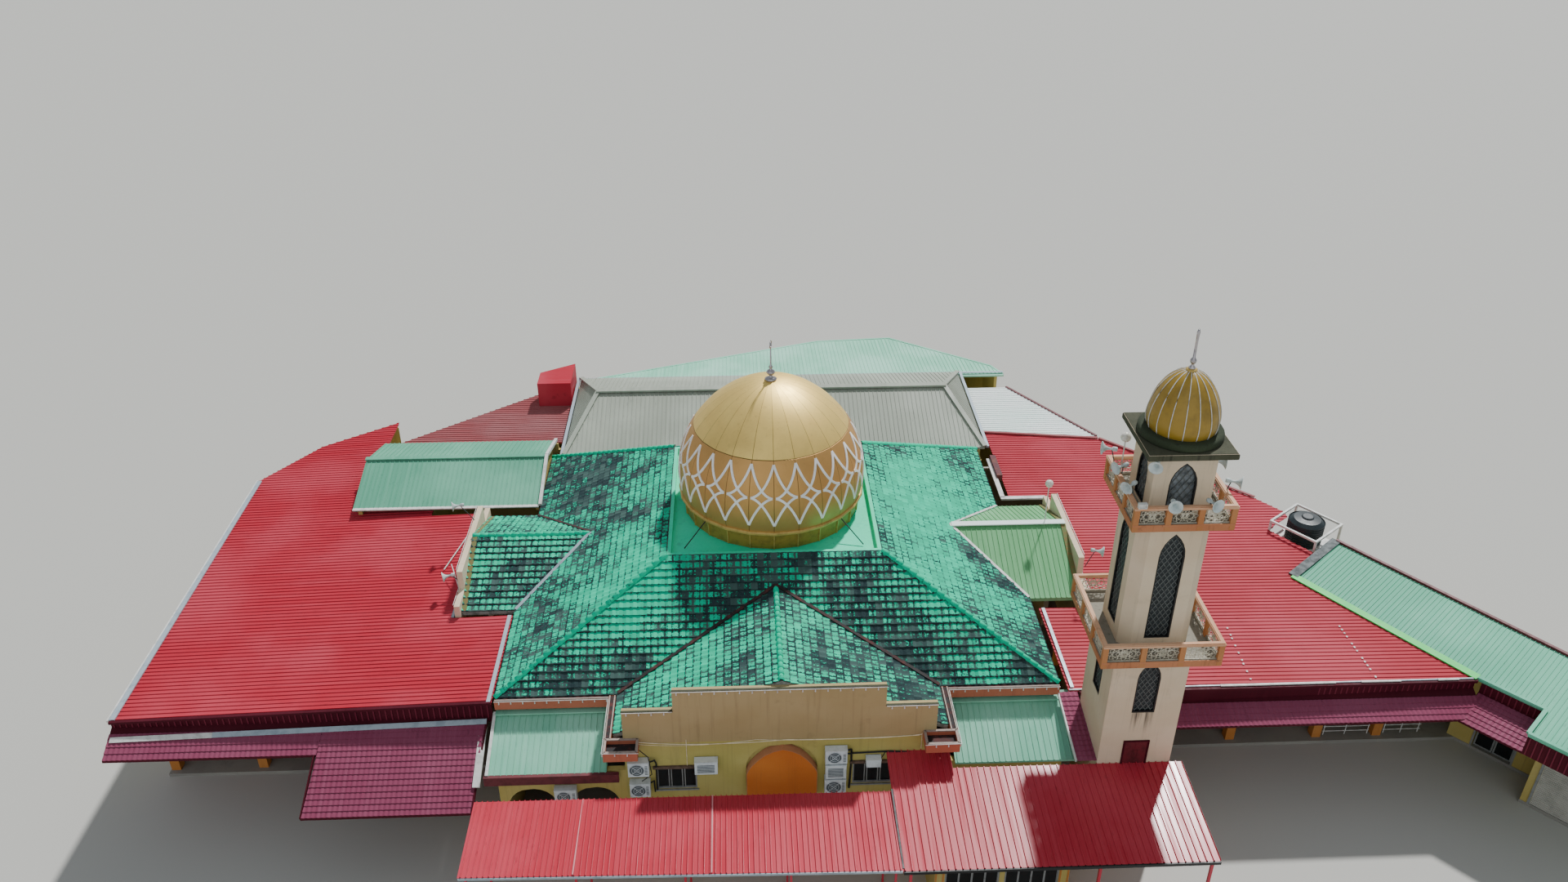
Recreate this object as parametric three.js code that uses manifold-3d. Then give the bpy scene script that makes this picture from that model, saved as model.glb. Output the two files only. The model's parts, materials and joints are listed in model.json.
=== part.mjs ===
// Mosque building with a gold dome, a tiled hall roof, low metal-roofed wings and a minaret.
// Scale model at 1:2. Every size below is a real size in metres; `place` turns it into model millimetres.
// +Z is up, +X is to the right of the front wall, -Y is towards the forecourt.
// The origin lies on the ground under the middle of the prayer hall.
import * as THREE from 'three';
import { ConvexGeometry } from 'three/addons/geometries/ConvexGeometry.js';
import { mergeVertices } from 'three/addons/utils/BufferGeometryUtils.js';
import Module from 'manifold-3d';

const wasm = await Module();
wasm.setup();

// Scale and clearances
const modelMillimetresPerMetre = 500;
const seam = 0.0006;
const doorGap = 0.02;
const far = 40;

// Prayer hall
const hall = { halfWidth: 11.5, halfDepth: 9.55, eave: 6.0, wallX: 11.2, backY: 9.2, wall: 0.25 };
const platform = { half: 4.61, kerbTop: 9.367, top: 9.08, slab: 0.2, kerb: 0.16, hole: 3.3 };
const tileThickness = 0.18;
const roofSheet = 0.1;
const floorTop = 0.15;
const frontLine = -12.1;
const frontBay = { beamBack: -9.05, beamFront: -9.3, beamFoot: 5.0 };
const hallDoor = { half: 1.1, spring: 1.9, crown: 2.7 };

// Cross gables over the front bay and the two side bays
const frontGable = { half: 6.55, ridge: 8.5, back: -4.5 };
const sideGable = { half: 3.8, ridge: 7.5, end: 13.9, centre: -0.05, start: 5 };
const gableWall = { half: 4.0, low: 6.45, high: 7.4, highHalf: 2.7, archHalf: 1.5, spring: 2.0, crown: 3.1 };

// Dome
const dome = { radius: 4.2, centre: 10.9, top: 15.35, base: 3.86, ring: 9.97, thickness: 0.12 };
const domeRing = { step: 0.02, reach: 0.05, depth: 0.06 };
const domeSteps = { outer: 14, inner: 9, round: 48 };
const domeFinial = [
  [0.2, 0], [0.22, 0.12], [0.09, 0.25], [0.15, 0.38], [0.07, 0.5], [0.04, 1.55], [0.1, 1.7], [0, 1.95],
];

// Portico wall in front of the hall
const portico = { left: -6.15, right: 6.05, low: 7.35, high: 8.32, highLeft: -4.18, highRight: 4.03 };
const porticoArch = { half: 1.41, foot: 3.25, spring: 4.3, crown: 5.5, recess: 0.12 };
const porticoWindow = { sill: 3.3, head: 4.42, spans: [[-4.95, -3.35], [2.82, 4.42]] };
const porticoDoor = { half: 1.6, head: 2.6 };
const gutter = {
  inner: 6.62, outer: 6.87, face: -9.78, back: -9.6, front: -12.88, boxInner: 5.55, depth: 0.42, lip: 0.08, floor: 0.1,
};

// Lean-to roofs beside the portico
const leanTo = { inner: 6.9, outer: 11.55, back: -9.62, front: -12.27, top: 5.3, bottom: 4.42, notch: -9.3 };
const sidePassage = { half: 0.95, foot: 1.0, spring: 2.6, crown: 3.5, offset: 1.25 };

// Minaret
const minaret = { x: 13.71, y: -11.59 };
const baseStage = { half: 1.44, top: 10.36, wall: 0.27 };
const upperStage = { half: 1.318, top: 16.02, wall: 0.24, chamfer: 0.39 };
const baseArch = { half: 0.44, foot: 7.48, spring: 9.14, crown: 9.92 };
const shaftArch = { half: 0.47, foot: 11.0, spring: 14.6, crown: 15.58 };
const kioskArch = { half: 0.49, foot: 16.31, spring: 17.43, crown: 18.31 };
const lowerBalcony = { half: 2.18, slab: 0.2, rail: 0.83 };
const upperBalcony = { half: 1.75, slab: 0.2, rail: 0.78 };
const railBar = 0.1;
const railBays = 3;
const kiosk = { half: 1.075, top: 18.7, wall: 0.26 };
const capSlab = { half: 1.52, thickness: 0.2 };
const smallDome = { radius: 1.31, widest: 19.6, top: 21.44, base: 1.415, ringTop: 0.25, lowAngle: -0.35, swell: 1.12 };
const spireSink = 0.03;
const spire = [[0.1, 0], [0.1, 0.13], [0.04, 0.23], [0.08, 0.33], [0.03, 0.45], [0.02, 1.2], [0.05, 1.28], [0, 1.38]];
const towerFront = minaret.y - baseStage.half - seam;

// Sheet canopies in front of the portico, on rows of posts
const canopySheet = 0.08;
const canopyJoint = 4.13;
const leftCanopy = {
  outline: [
    [-11.67, -13.96], [canopyJoint - seam, -14.03], [canopyJoint - seam, -17.66], [-11.67, -17.36],
  ],
  back: -14, height: 4.76, fall: 0.03, post: 0.08, beamDepth: 0.15,
  rows: [-17.25, -14.3], posts: [-11.5, -7.6, -3.7, 0.1, 3.9],
};
const rightCanopy = {
  outline: [
    [canopyJoint, frontLine - seam], [6.6, frontLine - seam], [6.6, towerFront], [15.6, towerFront], [15.6, -17.6],
    [canopyJoint, -17.6],
  ],
  back: -12.15, height: 4.97, fall: 0.08, post: 0.1, beamDepth: 0.15,
  rows: [-17.45], posts: [4.4, 11.3, 15.4],
};
const frontRoom = {
  left: 5.7, right: 10.9, front: -15.7, wall: 0.2, top: 3.1, sill: 1.1, head: 2.5, window: 2.1, windows: [6.1, 8.4],
};

// Wings
const leftWing = { left: -26.8, front: -9.75, right: -11.62, zHall: 5.95, fall: 0.033, band: 0.9 };
const leftSkirt = { top: 5.2, fall: 0.53, front: -10.98, awning: -13.17 };
const rightWing = { front: -9.62, end: 29.3, zHall: 5.62, fall: 0.012, band: 0.7, skew: 0.25 };
const rightSkirt = { top: 4.85, fall: 0.5, front: -10.6 };
const skirtSheet = 0.08;
const bandDepth = 0.1;
const wingWall = 0.2;
const veranda = {
  line: -7.0, beam: 0.25, foot: 4.75, post: 0.4, postTop: 4.9, postFront: 0.07,
  left: [-26.7, -22.9, -18.8, -14.7], right: [16.6, 20.4, 24.4, 27.2],
};

// Hall and lean-to roofs at the rear
const rearHall = {
  left: -10.95, right: 12.05, front: 9.75, back: 18.95, eave: 6.0, ridge: 7.45, ridgeLeft: -9.4, ridgeRight: 10.4,
  sheet: 0.12, wallLeft: -10.7, wallRight: 11.8, wallBack: 18.7, wall: 0.25,
};
const rearLeanTo = { start: 18.7, line: 19, height: 5.84, fall: 0.12 };
const leftRear = { height: 5.5, boxTop: 7.0 };
const rightRearHeight = 5.56;
const leftGabled = {
  left: -20.9, right: -11.62, front: 4.65, back: 11.3, line: 8.0, ridge: 7.0, eave: 6.05, sheet: 0.1,
};

// Annex at the right, turned against the hall
const annex = { x: 30.2, y: -6.4, turn: -50, wall: 0.2, frontEdge: -2.52, edgeHeight: 5.42, fall: 0.06 };
const annexOutline = [
  [-7.03, -1.55], [1.73, -2.52], [4.38, -2.52], [4.38, -4.35], [9.6, -4.35], [9.6, 1.0], [-6.89, 2.4],
];
const annexMitre = 1.92;
const annexDoor = { from: 1.9, to: 3.55, top: 2.3, leaf: 0.05, between: 0.016, lift: 0.012, pivot: 0.02, pin: 0.015 };
const annexShutter = { from: 5.0, to: 8.7, y: -1.8, top: 3.2, thickness: 0.06 };
const annexSkirt = { top: 4.85, fall: 0.317, front: -4.24, storeFront: -4.33, storeEdge: 4.4 };

// Water tank on a square frame, in a notch of the right wing's roof
const tank = {
  x: 26.6, y: 1.68, turn: -53, half: 1.2, post: 0.05, deck: 4.8, top: 6.33, radius: 0.83, frameTop: 6.05, midBar: 2.4,
};

const finish = {
  tile: { color: '#2fa884', roughness: 0.75, metalness: 0.0 },
  turquoise: { color: '#35c9a0', roughness: 0.6, metalness: 0.0 },
  gold: { color: '#c79a3a', roughness: 0.35, metalness: 0.8 },
  steel: { color: '#c8c8c8', roughness: 0.3, metalness: 0.9 },
  redSheet: { color: '#b8414d', roughness: 0.5, metalness: 0.2 },
  maroon: { color: '#7b3246', roughness: 0.55, metalness: 0.2 },
  greenSheet: { color: '#8fc4a8', roughness: 0.5, metalness: 0.2 },
  beigeSheet: { color: '#aaa798', roughness: 0.6, metalness: 0.2 },
  yellow: { color: '#c9bb6b', roughness: 0.85, metalness: 0.0 },
  tan: { color: '#a8926a', roughness: 0.85, metalness: 0.0 },
  cream: { color: '#cdbda8', roughness: 0.8, metalness: 0.0 },
  orange: { color: '#c8782f', roughness: 0.7, metalness: 0.0 },
  concrete: { color: '#9c998f', roughness: 0.9, metalness: 0.0 },
  white: { color: '#e3e3de', roughness: 0.6, metalness: 0.0 },
  glass: { color: '#1d2325', roughness: 0.15, metalness: 0.0 },
};

const building = new THREE.Group();

// Helpers for solids. A solid is a closed mesh held as a boolean library object.

function toSolid(geometry) {
  const bare = geometry.index ? geometry.toNonIndexed() : geometry.clone();
  bare.deleteAttribute('normal');
  bare.deleteAttribute('uv');
  const merged = mergeVertices(bare, 1e-5);
  const mesh = new wasm.Mesh({
    numProp: 3,
    vertProperties: new Float32Array(merged.attributes.position.array),
    triVerts: new Uint32Array(merged.index.array),
  });
  return new wasm.Manifold(mesh);
}

function box(x0, x1, y0, y1, z0, z1) {
  const geometry = new THREE.BoxGeometry(x1 - x0, y1 - y0, z1 - z0);
  geometry.translate((x0 + x1) / 2, (y0 + y1) / 2, (z0 + z1) / 2);
  return toSolid(geometry);
}

function shapeOf(points) {
  return new THREE.Shape(points.map(([x, y]) => new THREE.Vector2(x, y)));
}

function upright(points, z0, z1) {
  const geometry = new THREE.ExtrudeGeometry(shapeOf(points), { depth: z1 - z0, bevelEnabled: false });
  geometry.translate(0, 0, z0);
  return toSolid(geometry);
}

// A profile drawn in X and Z, run along Y from y0 to y1.
function alongY(points, y0, y1) {
  const geometry = new THREE.ExtrudeGeometry(shapeOf(points), { depth: y1 - y0, bevelEnabled: false });
  geometry.rotateX(Math.PI / 2);
  geometry.translate(0, y1, 0);
  return toSolid(geometry);
}

// A profile drawn in Y and Z, run along X from x0 to x1.
function alongX(points, x0, x1) {
  const geometry = new THREE.ExtrudeGeometry(shapeOf(points), { depth: x1 - x0, bevelEnabled: false });
  geometry.rotateY(Math.PI / 2);
  geometry.rotateX(Math.PI / 2);
  geometry.translate(x0, 0, 0);
  return toSolid(geometry);
}

// A sloping plate: its outline is given in plan, and `height(x, y)` is its upper face.
function plate(outline, height, thickness) {
  const geometry = new THREE.ExtrudeGeometry(shapeOf(outline), { depth: 1, bevelEnabled: false });
  const position = geometry.attributes.position;
  for (let i = 0; i < position.count; i += 1) {
    const upper = height(position.getX(i), position.getY(i));
    position.setZ(i, position.getZ(i) > 0.5 ? upper : upper - thickness);
  }
  return toSolid(geometry);
}

function hull(points) {
  return toSolid(new ConvexGeometry(points.map(([x, y, z]) => new THREE.Vector3(x, y, z))));
}

function turned(profile, segments) {
  const geometry = new THREE.LatheGeometry(profile.map(([r, z]) => new THREE.Vector2(r, z)), segments);
  geometry.rotateX(Math.PI / 2);
  return toSolid(geometry);
}

function joined(solids) {
  return solids.reduce((whole, piece) => whole.add(piece));
}

function place(name, solid, look, parent = building) {
  const mesh = solid.getMesh();
  const geometry = new THREE.BufferGeometry();
  const position = Float32Array.from(mesh.vertProperties, (value) => value * modelMillimetresPerMetre);
  geometry.setAttribute('position', new THREE.BufferAttribute(position, 3));
  geometry.setIndex(new THREE.BufferAttribute(new Uint32Array(mesh.triVerts), 1));
  geometry.computeVertexNormals();
  const node = new THREE.Mesh(geometry, new THREE.MeshStandardMaterial(finish[look]));
  node.name = name;
  parent.add(node);
  return node;
}

// A pointed arch outline: half width, spring height and crown height, with straight jambs below.
function pointedArch(half, foot, spring, crown, steps = 5) {
  const points = [[-half, foot], [half, foot]];
  const rise = crown - spring;
  const radius = (half * half + rise * rise) / (2 * half);
  const last = Math.asin(rise / radius);
  for (let i = 0; i <= steps; i += 1) {
    const angle = (last * i) / steps;
    points.push([half - radius + radius * Math.cos(angle), spring + radius * Math.sin(angle)]);
  }
  for (let i = steps - 1; i >= 0; i -= 1) {
    const angle = (last * i) / steps;
    points.push([-(half - radius + radius * Math.cos(angle)), spring + radius * Math.sin(angle)]);
  }
  return points;
}

// Hall walls, floor and beam

// The space that a hipped roof leaves under it, down to the ground.
function roomUnder(eaveCorners, topCorners, drop) {
  return hull([
    ...eaveCorners.map(([x, y, z]) => [x, y, z - drop]), ...topCorners.map(([x, y, z]) => [x, y, z - drop]),
    ...eaveCorners.map(([x, y]) => [x, y, -1]),
  ]);
}

function squareCorners(halfX, halfY, z) {
  return [[-halfX, -halfY, z], [halfX, -halfY, z], [halfX, halfY, z], [-halfX, halfY, z]];
}

function hallBody() {
  const inner = hall.wallX - hall.wall;
  const reach = frontLine + hall.wall + seam;
  const backInner = hall.backY - hall.wall;
  const room = roomUnder(squareCorners(hall.halfWidth, hall.halfDepth, hall.eave),
    squareCorners(platform.half, platform.half, platform.kerbTop), tileThickness + seam);
  place('hall_floor', box(-inner + seam, inner - seam, reach, backInner - seam, 0, floorTop), 'concrete');
  const ring = box(-hall.wallX, hall.wallX, reach, hall.backY, 0, 8)
    .subtract(box(-inner, inner, reach - 1, backInner, -1, 9));
  const bayTop = leanTo.bottom - 0.2;
  const aboveFrontBay = box(-far, far, -far, leanTo.back + 0.2, bayTop, far);
  const bay = box(-far, far, -far, frontBay.beamBack, -1, bayTop);
  const doorway = alongX(pointedArch(hallDoor.half, -1, hallDoor.spring, hallDoor.crown, 4), -far, far);
  place('hall_walls', ring.intersect(room.add(bay)).subtract(aboveFrontBay).subtract(doorway), 'yellow');
  const beam = box(-inner + seam, inner - seam, frontBay.beamFront, frontBay.beamBack, frontBay.beamFoot, 8);
  const armTop = hall.eave - tileThickness - seam;
  const arms = [portico.left + seam, portico.right - hall.wall - seam].map((x) => (
    box(x, x + hall.wall, reach, frontBay.beamFront + 0.1, frontBay.beamFoot, armTop)));
  place('hall_front_beams', joined([beam.intersect(room), ...arms]), 'yellow');
}

// Tiled hip roof round a flat platform

function hallRoof() {
  const p = platform.half;
  const eaves = squareCorners(hall.halfWidth, hall.halfDepth, hall.eave);
  const rim = squareCorners(p + seam, p + seam, platform.kerbTop);
  const outer = hull([...eaves, ...rim, ...eaves.map(([x, y, z]) => [x, y, z - tileThickness])]);
  const shaft = box(-p - seam, p + seam, -p - seam, p + seam, 0, 20);
  place('main_roof', outer.subtract(roomUnder(eaves, rim, tileThickness)).subtract(shaft), 'tile');
  const deck = box(-p, p, -p, p, platform.top - platform.slab, platform.kerbTop);
  const inside = p - platform.kerb;
  const pan = box(-inside, inside, -inside, inside, platform.top, platform.kerbTop + 1);
  const well = new THREE.CylinderGeometry(platform.hole, platform.hole, 4, 32);
  well.rotateX(Math.PI / 2);
  well.translate(0, 0, platform.top);
  place('dome_platform', deck.subtract(pan).subtract(toSolid(well)), 'turquoise');
}

// Cross gables, each cut off where it meets the hip roof

function gableProfile(centre, half, ridge) {
  return [
    [centre - half, hall.eave], [centre - half, hall.eave - tileThickness], [centre, ridge - tileThickness],
    [centre + half, hall.eave - tileThickness], [centre + half, hall.eave], [centre, ridge],
  ];
}

function crossGables() {
  const lift = 3 * seam;
  const frontProfile = gableProfile(0, frontGable.half, frontGable.ridge);
  const front = alongY(frontProfile, frontLine + hall.wall + seam, frontGable.back);
  const frontRise = (platform.kerbTop - hall.eave) / (hall.halfDepth - platform.half);
  const underFront = alongX([
    [-hall.halfDepth - seam, -far], [0, -far], [0, hall.eave + frontRise * hall.halfDepth + lift],
    [-hall.halfDepth - seam, hall.eave + lift],
  ], -far, far);
  place('front_gable_roof', front.subtract(underFront), 'tile');
  const sideRise = (platform.kerbTop - hall.eave) / (hall.halfWidth - platform.half);
  const profile = gableProfile(sideGable.centre, sideGable.half, sideGable.ridge);
  for (const [name, side, look] of [['left_gable_roof', -1, 'tile'], ['right_gable_roof', 1, 'greenSheet']]) {
    const ends = [side * sideGable.start, side * (sideGable.end - seam)].sort((a, b) => a - b);
    const edge = side * (hall.halfWidth + seam);
    const underSide = alongY([
      [edge, -far], [edge, hall.eave + lift], [0, hall.eave + sideRise * hall.halfWidth + lift], [0, -far],
    ], -far, far);
    place(name, alongX(profile, ...ends).subtract(underSide), look);
  }
  const c = sideGable.centre;
  const doorway = alongX(pointedArch(gableWall.archHalf, -1, gableWall.spring, gableWall.crown, 4), -far, far);
  for (const [name, x0] of [['left_gable_wall', -sideGable.end - hall.wall], ['right_gable_wall', sideGable.end]]) {
    const x1 = x0 + hall.wall;
    const low = box(x0, x1, c - gableWall.half, c + gableWall.half, floorTop + seam, gableWall.low);
    const high = box(x0, x1, c - gableWall.highHalf, c + gableWall.highHalf, gableWall.low - 0.5, gableWall.high);
    place(name, low.add(high).subtract(doorway), 'cream');
  }
}

// Dome, from the ring below its widest part to the crown

function domeProfile(radius, steps) {
  const points = [];
  const low = Math.asin((dome.ring - dome.centre) / dome.radius);
  for (let i = 0; i <= steps; i += 1) {
    const angle = low + ((Math.PI / 2 - low) * i) / steps;
    const lift = Math.max(0, Math.sin(angle)) ** 6 * (dome.top - dome.centre - dome.radius);
    points.push([radius * Math.cos(angle), dome.centre + radius * Math.sin(angle) + lift]);
  }
  points[points.length - 1][0] = 0;
  return points;
}

// A turned profile's points lifted onto a height, the first of them no lower than the foot
function risenBy(profile, height, foot) {
  return profile.map(([r, z]) => [r, Math.max(height + z, foot)]);
}

function goldDome() {
  const outer = domeProfile(dome.radius, domeSteps.outer);
  const inner = domeProfile(dome.radius - dome.thickness, domeSteps.inner);
  const baseZ = platform.top + seam;
  const profile = [
    [dome.base - dome.thickness, baseZ], [dome.base, baseZ],
    [outer[0][0] + domeRing.step, dome.ring - domeRing.depth], [outer[0][0] + domeRing.reach, dome.ring], ...outer,
    ...inner.reverse().slice(0, -1), [outer[0][0] - dome.thickness, dome.ring],
    [dome.base - dome.thickness, baseZ],
  ];
  place('dome_shell', turned(profile, domeSteps.round), 'gold');
  const foot = dome.top + seam;
  place('dome_finial', turned([[0, foot], ...risenBy(domeFinial, dome.top, foot)], 12), 'steel');
}

// Portico: the front wall with its stepped parapet, arch recess, windows and doorway

function porticoWall() {
  const outer = frontLine - 1;
  const inner = frontLine + hall.wall;
  let wall = box(portico.left, portico.right, frontLine, inner, 0, portico.low);
  wall = wall.add(box(portico.highLeft, portico.highRight, frontLine, inner, portico.low - 0.1, portico.high));
  for (const [x0, x1] of porticoWindow.spans) {
    wall = wall.subtract(box(x0, x1, outer, inner + 1, porticoWindow.sill, porticoWindow.head));
  }
  const arch = pointedArch(porticoArch.half, porticoArch.foot, porticoArch.spring, porticoArch.crown, 6);
  wall = wall.subtract(alongY(arch, outer, frontLine + porticoArch.recess));
  wall = wall.subtract(box(-porticoDoor.half, porticoDoor.half, outer, inner + 1, -1, porticoDoor.head));
  place('portico_wall', wall, 'tan');
}

function frontWalls() {
  const inner = frontLine + hall.wall;
  const arch = pointedArch(sidePassage.half, sidePassage.foot, sidePassage.spring, sidePassage.crown, 5);
  const spans = [
    ['front_left_wall', -hall.wallX, portico.left - seam],
    ['front_right_wall', portico.right + seam, hall.wallX],
  ];
  for (const [name, x0, x1] of spans) {
    let wall = box(x0, x1, frontLine, inner, 0, leanTo.bottom - 0.045);
    const middle = (x0 + x1) / 2;
    for (const centre of [middle - sidePassage.offset, middle + sidePassage.offset]) {
      wall = wall.subtract(alongY(arch.map(([x, z]) => [x + centre, z]), frontLine - 1, inner + 1));
    }
    place(name, wall, 'yellow');
  }
}

// Gutters along the front eaves, turning forward to a box beside the portico

function gutters() {
  const foot = hall.eave - gutter.depth;
  for (const [name, side] of [['front_left_gutter', -1], ['front_right_gutter', 1]]) {
    const span = (x0, x1) => (side < 0 ? [-x1, -x0] : [x0, x1]);
    const fascia = box(...span(gutter.inner, hall.halfWidth), gutter.face, -hall.halfDepth - seam, foot, hall.eave);
    const run = box(...span(gutter.inner, gutter.outer), gutter.front, gutter.back, foot, hall.eave);
    const pan = box(...span(gutter.boxInner, gutter.outer), gutter.front, frontLine - seam, foot, hall.eave);
    const hollow = box(...span(gutter.boxInner + gutter.lip, gutter.outer - gutter.lip), gutter.front + gutter.lip,
      frontLine - gutter.lip, foot + gutter.floor, hall.eave + 1);
    place(name, joined([fascia, run, pan]).subtract(hollow), 'orange');
  }
}

// Lean-to roofs; the right one carries on as a narrow slope to the minaret

function lowRoofs() {
  const fall = (leanTo.top - leanTo.bottom) / (leanTo.back - leanTo.front);
  const height = (x, y) => leanTo.bottom + fall * (y - leanTo.front);
  place('left_lean_to_roof', plate([
    [-leanTo.outer, leanTo.front], [-leanTo.inner, leanTo.front], [-leanTo.inner, leanTo.back],
    [-leanTo.outer, leanTo.back],
  ], height, roofSheet), 'greenSheet');
  const besideTower = minaret.x - baseStage.half - seam;
  place('right_lean_to_roof', plate([
    [leanTo.inner, leanTo.front], [besideTower, leanTo.front], [besideTower, leanTo.notch],
    [leanTo.outer, leanTo.notch], [leanTo.outer, leanTo.back], [leanTo.inner, leanTo.back],
  ], height, roofSheet), 'greenSheet');
}

// A canopy is a sloping sheet with rows of posts, and a beam along the top of each row.
function canopy(size) {
  const height = (x, y) => size.height + size.fall * (y - size.back);
  const ends = [size.posts[0] - size.post, size.posts[size.posts.length - 1] + 1.5 * size.post];
  const rows = size.rows.map((y) => {
    const top = height(0, y) - canopySheet / 2;
    const posts = size.posts.map((x) => box(x, x + size.post, y, y + size.post, 0, top));
    return joined([box(...ends, y, y + size.post, top - size.beamDepth, top), ...posts]);
  });
  return joined([plate(size.outline, height, canopySheet), ...rows]);
}

function frontCanopies() {
  place('left_canopy', canopy(leftCanopy), 'redSheet');
  place('right_canopy', canopy(rightCanopy), 'redSheet');
  const r = frontRoom;
  const back = frontLine - seam;
  let walls = joined([
    box(r.left, r.right, r.front, r.front + r.wall, 0, r.top), box(r.left, r.left + r.wall, r.front, back, 0, r.top),
    box(r.right - r.wall, r.right, r.front, back, 0, r.top),
  ]);
  for (const x of r.windows) {
    walls = walls.subtract(box(x, x + r.window, r.front - 1, r.front + 1, r.sill, r.head));
  }
  place('front_room_walls', walls, 'yellow');
}

// Minaret stages

function squareTube(half, wall, chamfer, z0, z1) {
  const ring = (h, c) => [
    [minaret.x - h + c, minaret.y - h], [minaret.x + h - c, minaret.y - h], [minaret.x + h, minaret.y - h + c],
    [minaret.x + h, minaret.y + h - c], [minaret.x + h - c, minaret.y + h], [minaret.x - h + c, minaret.y + h],
    [minaret.x - h, minaret.y + h - c], [minaret.x - h, minaret.y - h + c],
  ];
  return upright(ring(half, chamfer), z0, z1).subtract(upright(ring(half - wall, chamfer * 0.7), z0 - 1, z1 + 1));
}

function archThrough(arch) {
  const outline = pointedArch(arch.half, arch.foot, arch.spring, arch.crown, 4);
  const acrossY = alongY(outline.map(([a, b]) => [a + minaret.x, b]), minaret.y - 4, minaret.y + 4);
  const acrossX = alongX(outline.map(([a, b]) => [a + minaret.y, b]), minaret.x - 4, minaret.x + 4);
  return acrossY.add(acrossX);
}

// A square railing round the tower: a bottom and a top bar on each side, and posts between the bays.
function railing(balcony, floor) {
  const half = balcony.half;
  const top = floor + balcony.rail + 0.02;
  const bar = (x, y, spanX, spanY, z0, z1) => box(minaret.x + x, minaret.x + x + spanX, minaret.y + y,
    minaret.y + y + spanY, z0, z1);
  const pieces = [];
  for (const edge of [-half, half - railBar]) {
    for (const z of [floor, top - railBar]) {
      pieces.push(bar(-half, edge, 2 * half, railBar, z, z + railBar));
      pieces.push(bar(edge, -half, railBar, 2 * half, z, z + railBar));
    }
    for (let step = 0; step <= railBays; step += 1) {
      const at = -half + ((2 * half - railBar) * step) / railBays;
      pieces.push(bar(at, edge, railBar, railBar, floor, top));
      pieces.push(bar(edge, at, railBar, railBar, floor, top));
    }
  }
  return joined(pieces);
}

// The small dome bulges below its widest line and draws in slowly towards the top.
function smallDomeProfile(steps) {
  const points = [];
  for (let i = 0; i <= steps; i += 1) {
    const angle = smallDome.lowAngle + ((Math.PI / 2 - smallDome.lowAngle) * i) / steps;
    const rise = smallDome.top - smallDome.widest;
    const z = angle < 0 ? smallDome.radius * Math.sin(angle) : rise * Math.sin(angle) ** smallDome.swell;
    points.push([i === steps ? 0 : smallDome.radius * Math.cos(angle), smallDome.widest + z]);
  }
  return points;
}

function minaretTower() {
  const slabOf = (half, z0, z1) => box(minaret.x - half, minaret.x + half, minaret.y - half, minaret.y + half, z0, z1);
  const base = squareTube(baseStage.half, baseStage.wall, 0.02, 0, baseStage.top - seam);
  place('minaret_base', base.subtract(archThrough(baseArch)), 'cream');
  const deck1 = baseStage.top + lowerBalcony.slab;
  const lower = slabOf(lowerBalcony.half, baseStage.top, deck1);
  place('lower_balcony', lower.add(railing(lowerBalcony, deck1 - 0.02)), 'orange');
  const shaft = squareTube(upperStage.half, upperStage.wall, upperStage.chamfer, deck1 + seam, upperStage.top - seam);
  place('minaret_shaft', shaft.subtract(archThrough(shaftArch)), 'cream');
  const deck2 = upperStage.top + upperBalcony.slab;
  const upper = slabOf(upperBalcony.half, upperStage.top, deck2);
  place('upper_balcony', upper.add(railing(upperBalcony, deck2 - 0.02)), 'orange');
  const room = squareTube(kiosk.half, kiosk.wall, 0.02, deck2 + seam, kiosk.top - seam);
  const capTop = kiosk.top + capSlab.thickness;
  const cap = slabOf(capSlab.half, kiosk.top - 0.02, capTop);
  place('minaret_kiosk', room.subtract(archThrough(kioskArch)).add(cap), 'cream');
  const ring = [
    [0, capTop + seam], [smallDome.base, capTop + seam], [smallDome.base - 0.02, capTop + smallDome.ringTop],
  ];
  const profile = [...ring, ...smallDomeProfile(10)];
  const cupola = turned(profile, 28).translate([minaret.x, minaret.y, 0]);
  const tip = smallDome.top - spireSink;
  const mast = turned([[0, tip], ...risenBy(spire, tip, tip)], 10).translate([minaret.x, minaret.y, 0]);
  place('minaret_dome', cupola.add(mast), 'gold');
}

// Moves every edge of a plan outline outwards by the same distance. The outline runs anticlockwise.
function grown(outline, distance) {
  const count = outline.length;
  const normal = (i) => {
    const [a, b] = outline[i % count];
    const [x, y] = outline[(i + 1) % count];
    const length = Math.hypot(x - a, y - b);
    return [(y - b) / length, (a - x) / length];
  };
  return outline.map(([x, y], i) => {
    const [p, q] = normal(i + count - 1);
    const [r, s] = normal(i);
    const scale = distance / (1 + p * r + q * s);
    return [x + (p + r) * scale, y + (q + s) * scale];
  });
}

// A wall of even thickness that follows a line of plan points, its thickness to the left of the line.
function wallAlong(points, thickness, foot, height) {
  const normals = points.slice(1).map(([x, y], i) => {
    const [a, b] = points[i];
    const length = Math.hypot(x - a, y - b);
    return [(b - y) / length, (x - a) / length];
  });
  const inside = points.map(([x, y], i) => {
    const [p, q] = normals[Math.max(i - 1, 0)];
    const [r, s] = normals[Math.min(i, normals.length - 1)];
    const scale = thickness / (1 + p * r + q * s);
    return [x + (p + r) * scale, y + (q + s) * scale];
  });
  const geometry = new THREE.ExtrudeGeometry(shapeOf([...points, ...inside.reverse()]), { depth: 1,
    bevelEnabled: false });
  const position = geometry.attributes.position;
  for (let i = 0; i < position.count; i += 1) {
    const upper = height(position.getX(i), position.getY(i));
    position.setZ(i, position.getZ(i) > 0.5 ? upper : foot);
  }
  return toSolid(geometry);
}

// Left wing: a wide low roof on posts, with a deep maroon band and a tiled skirt along the front

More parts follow.
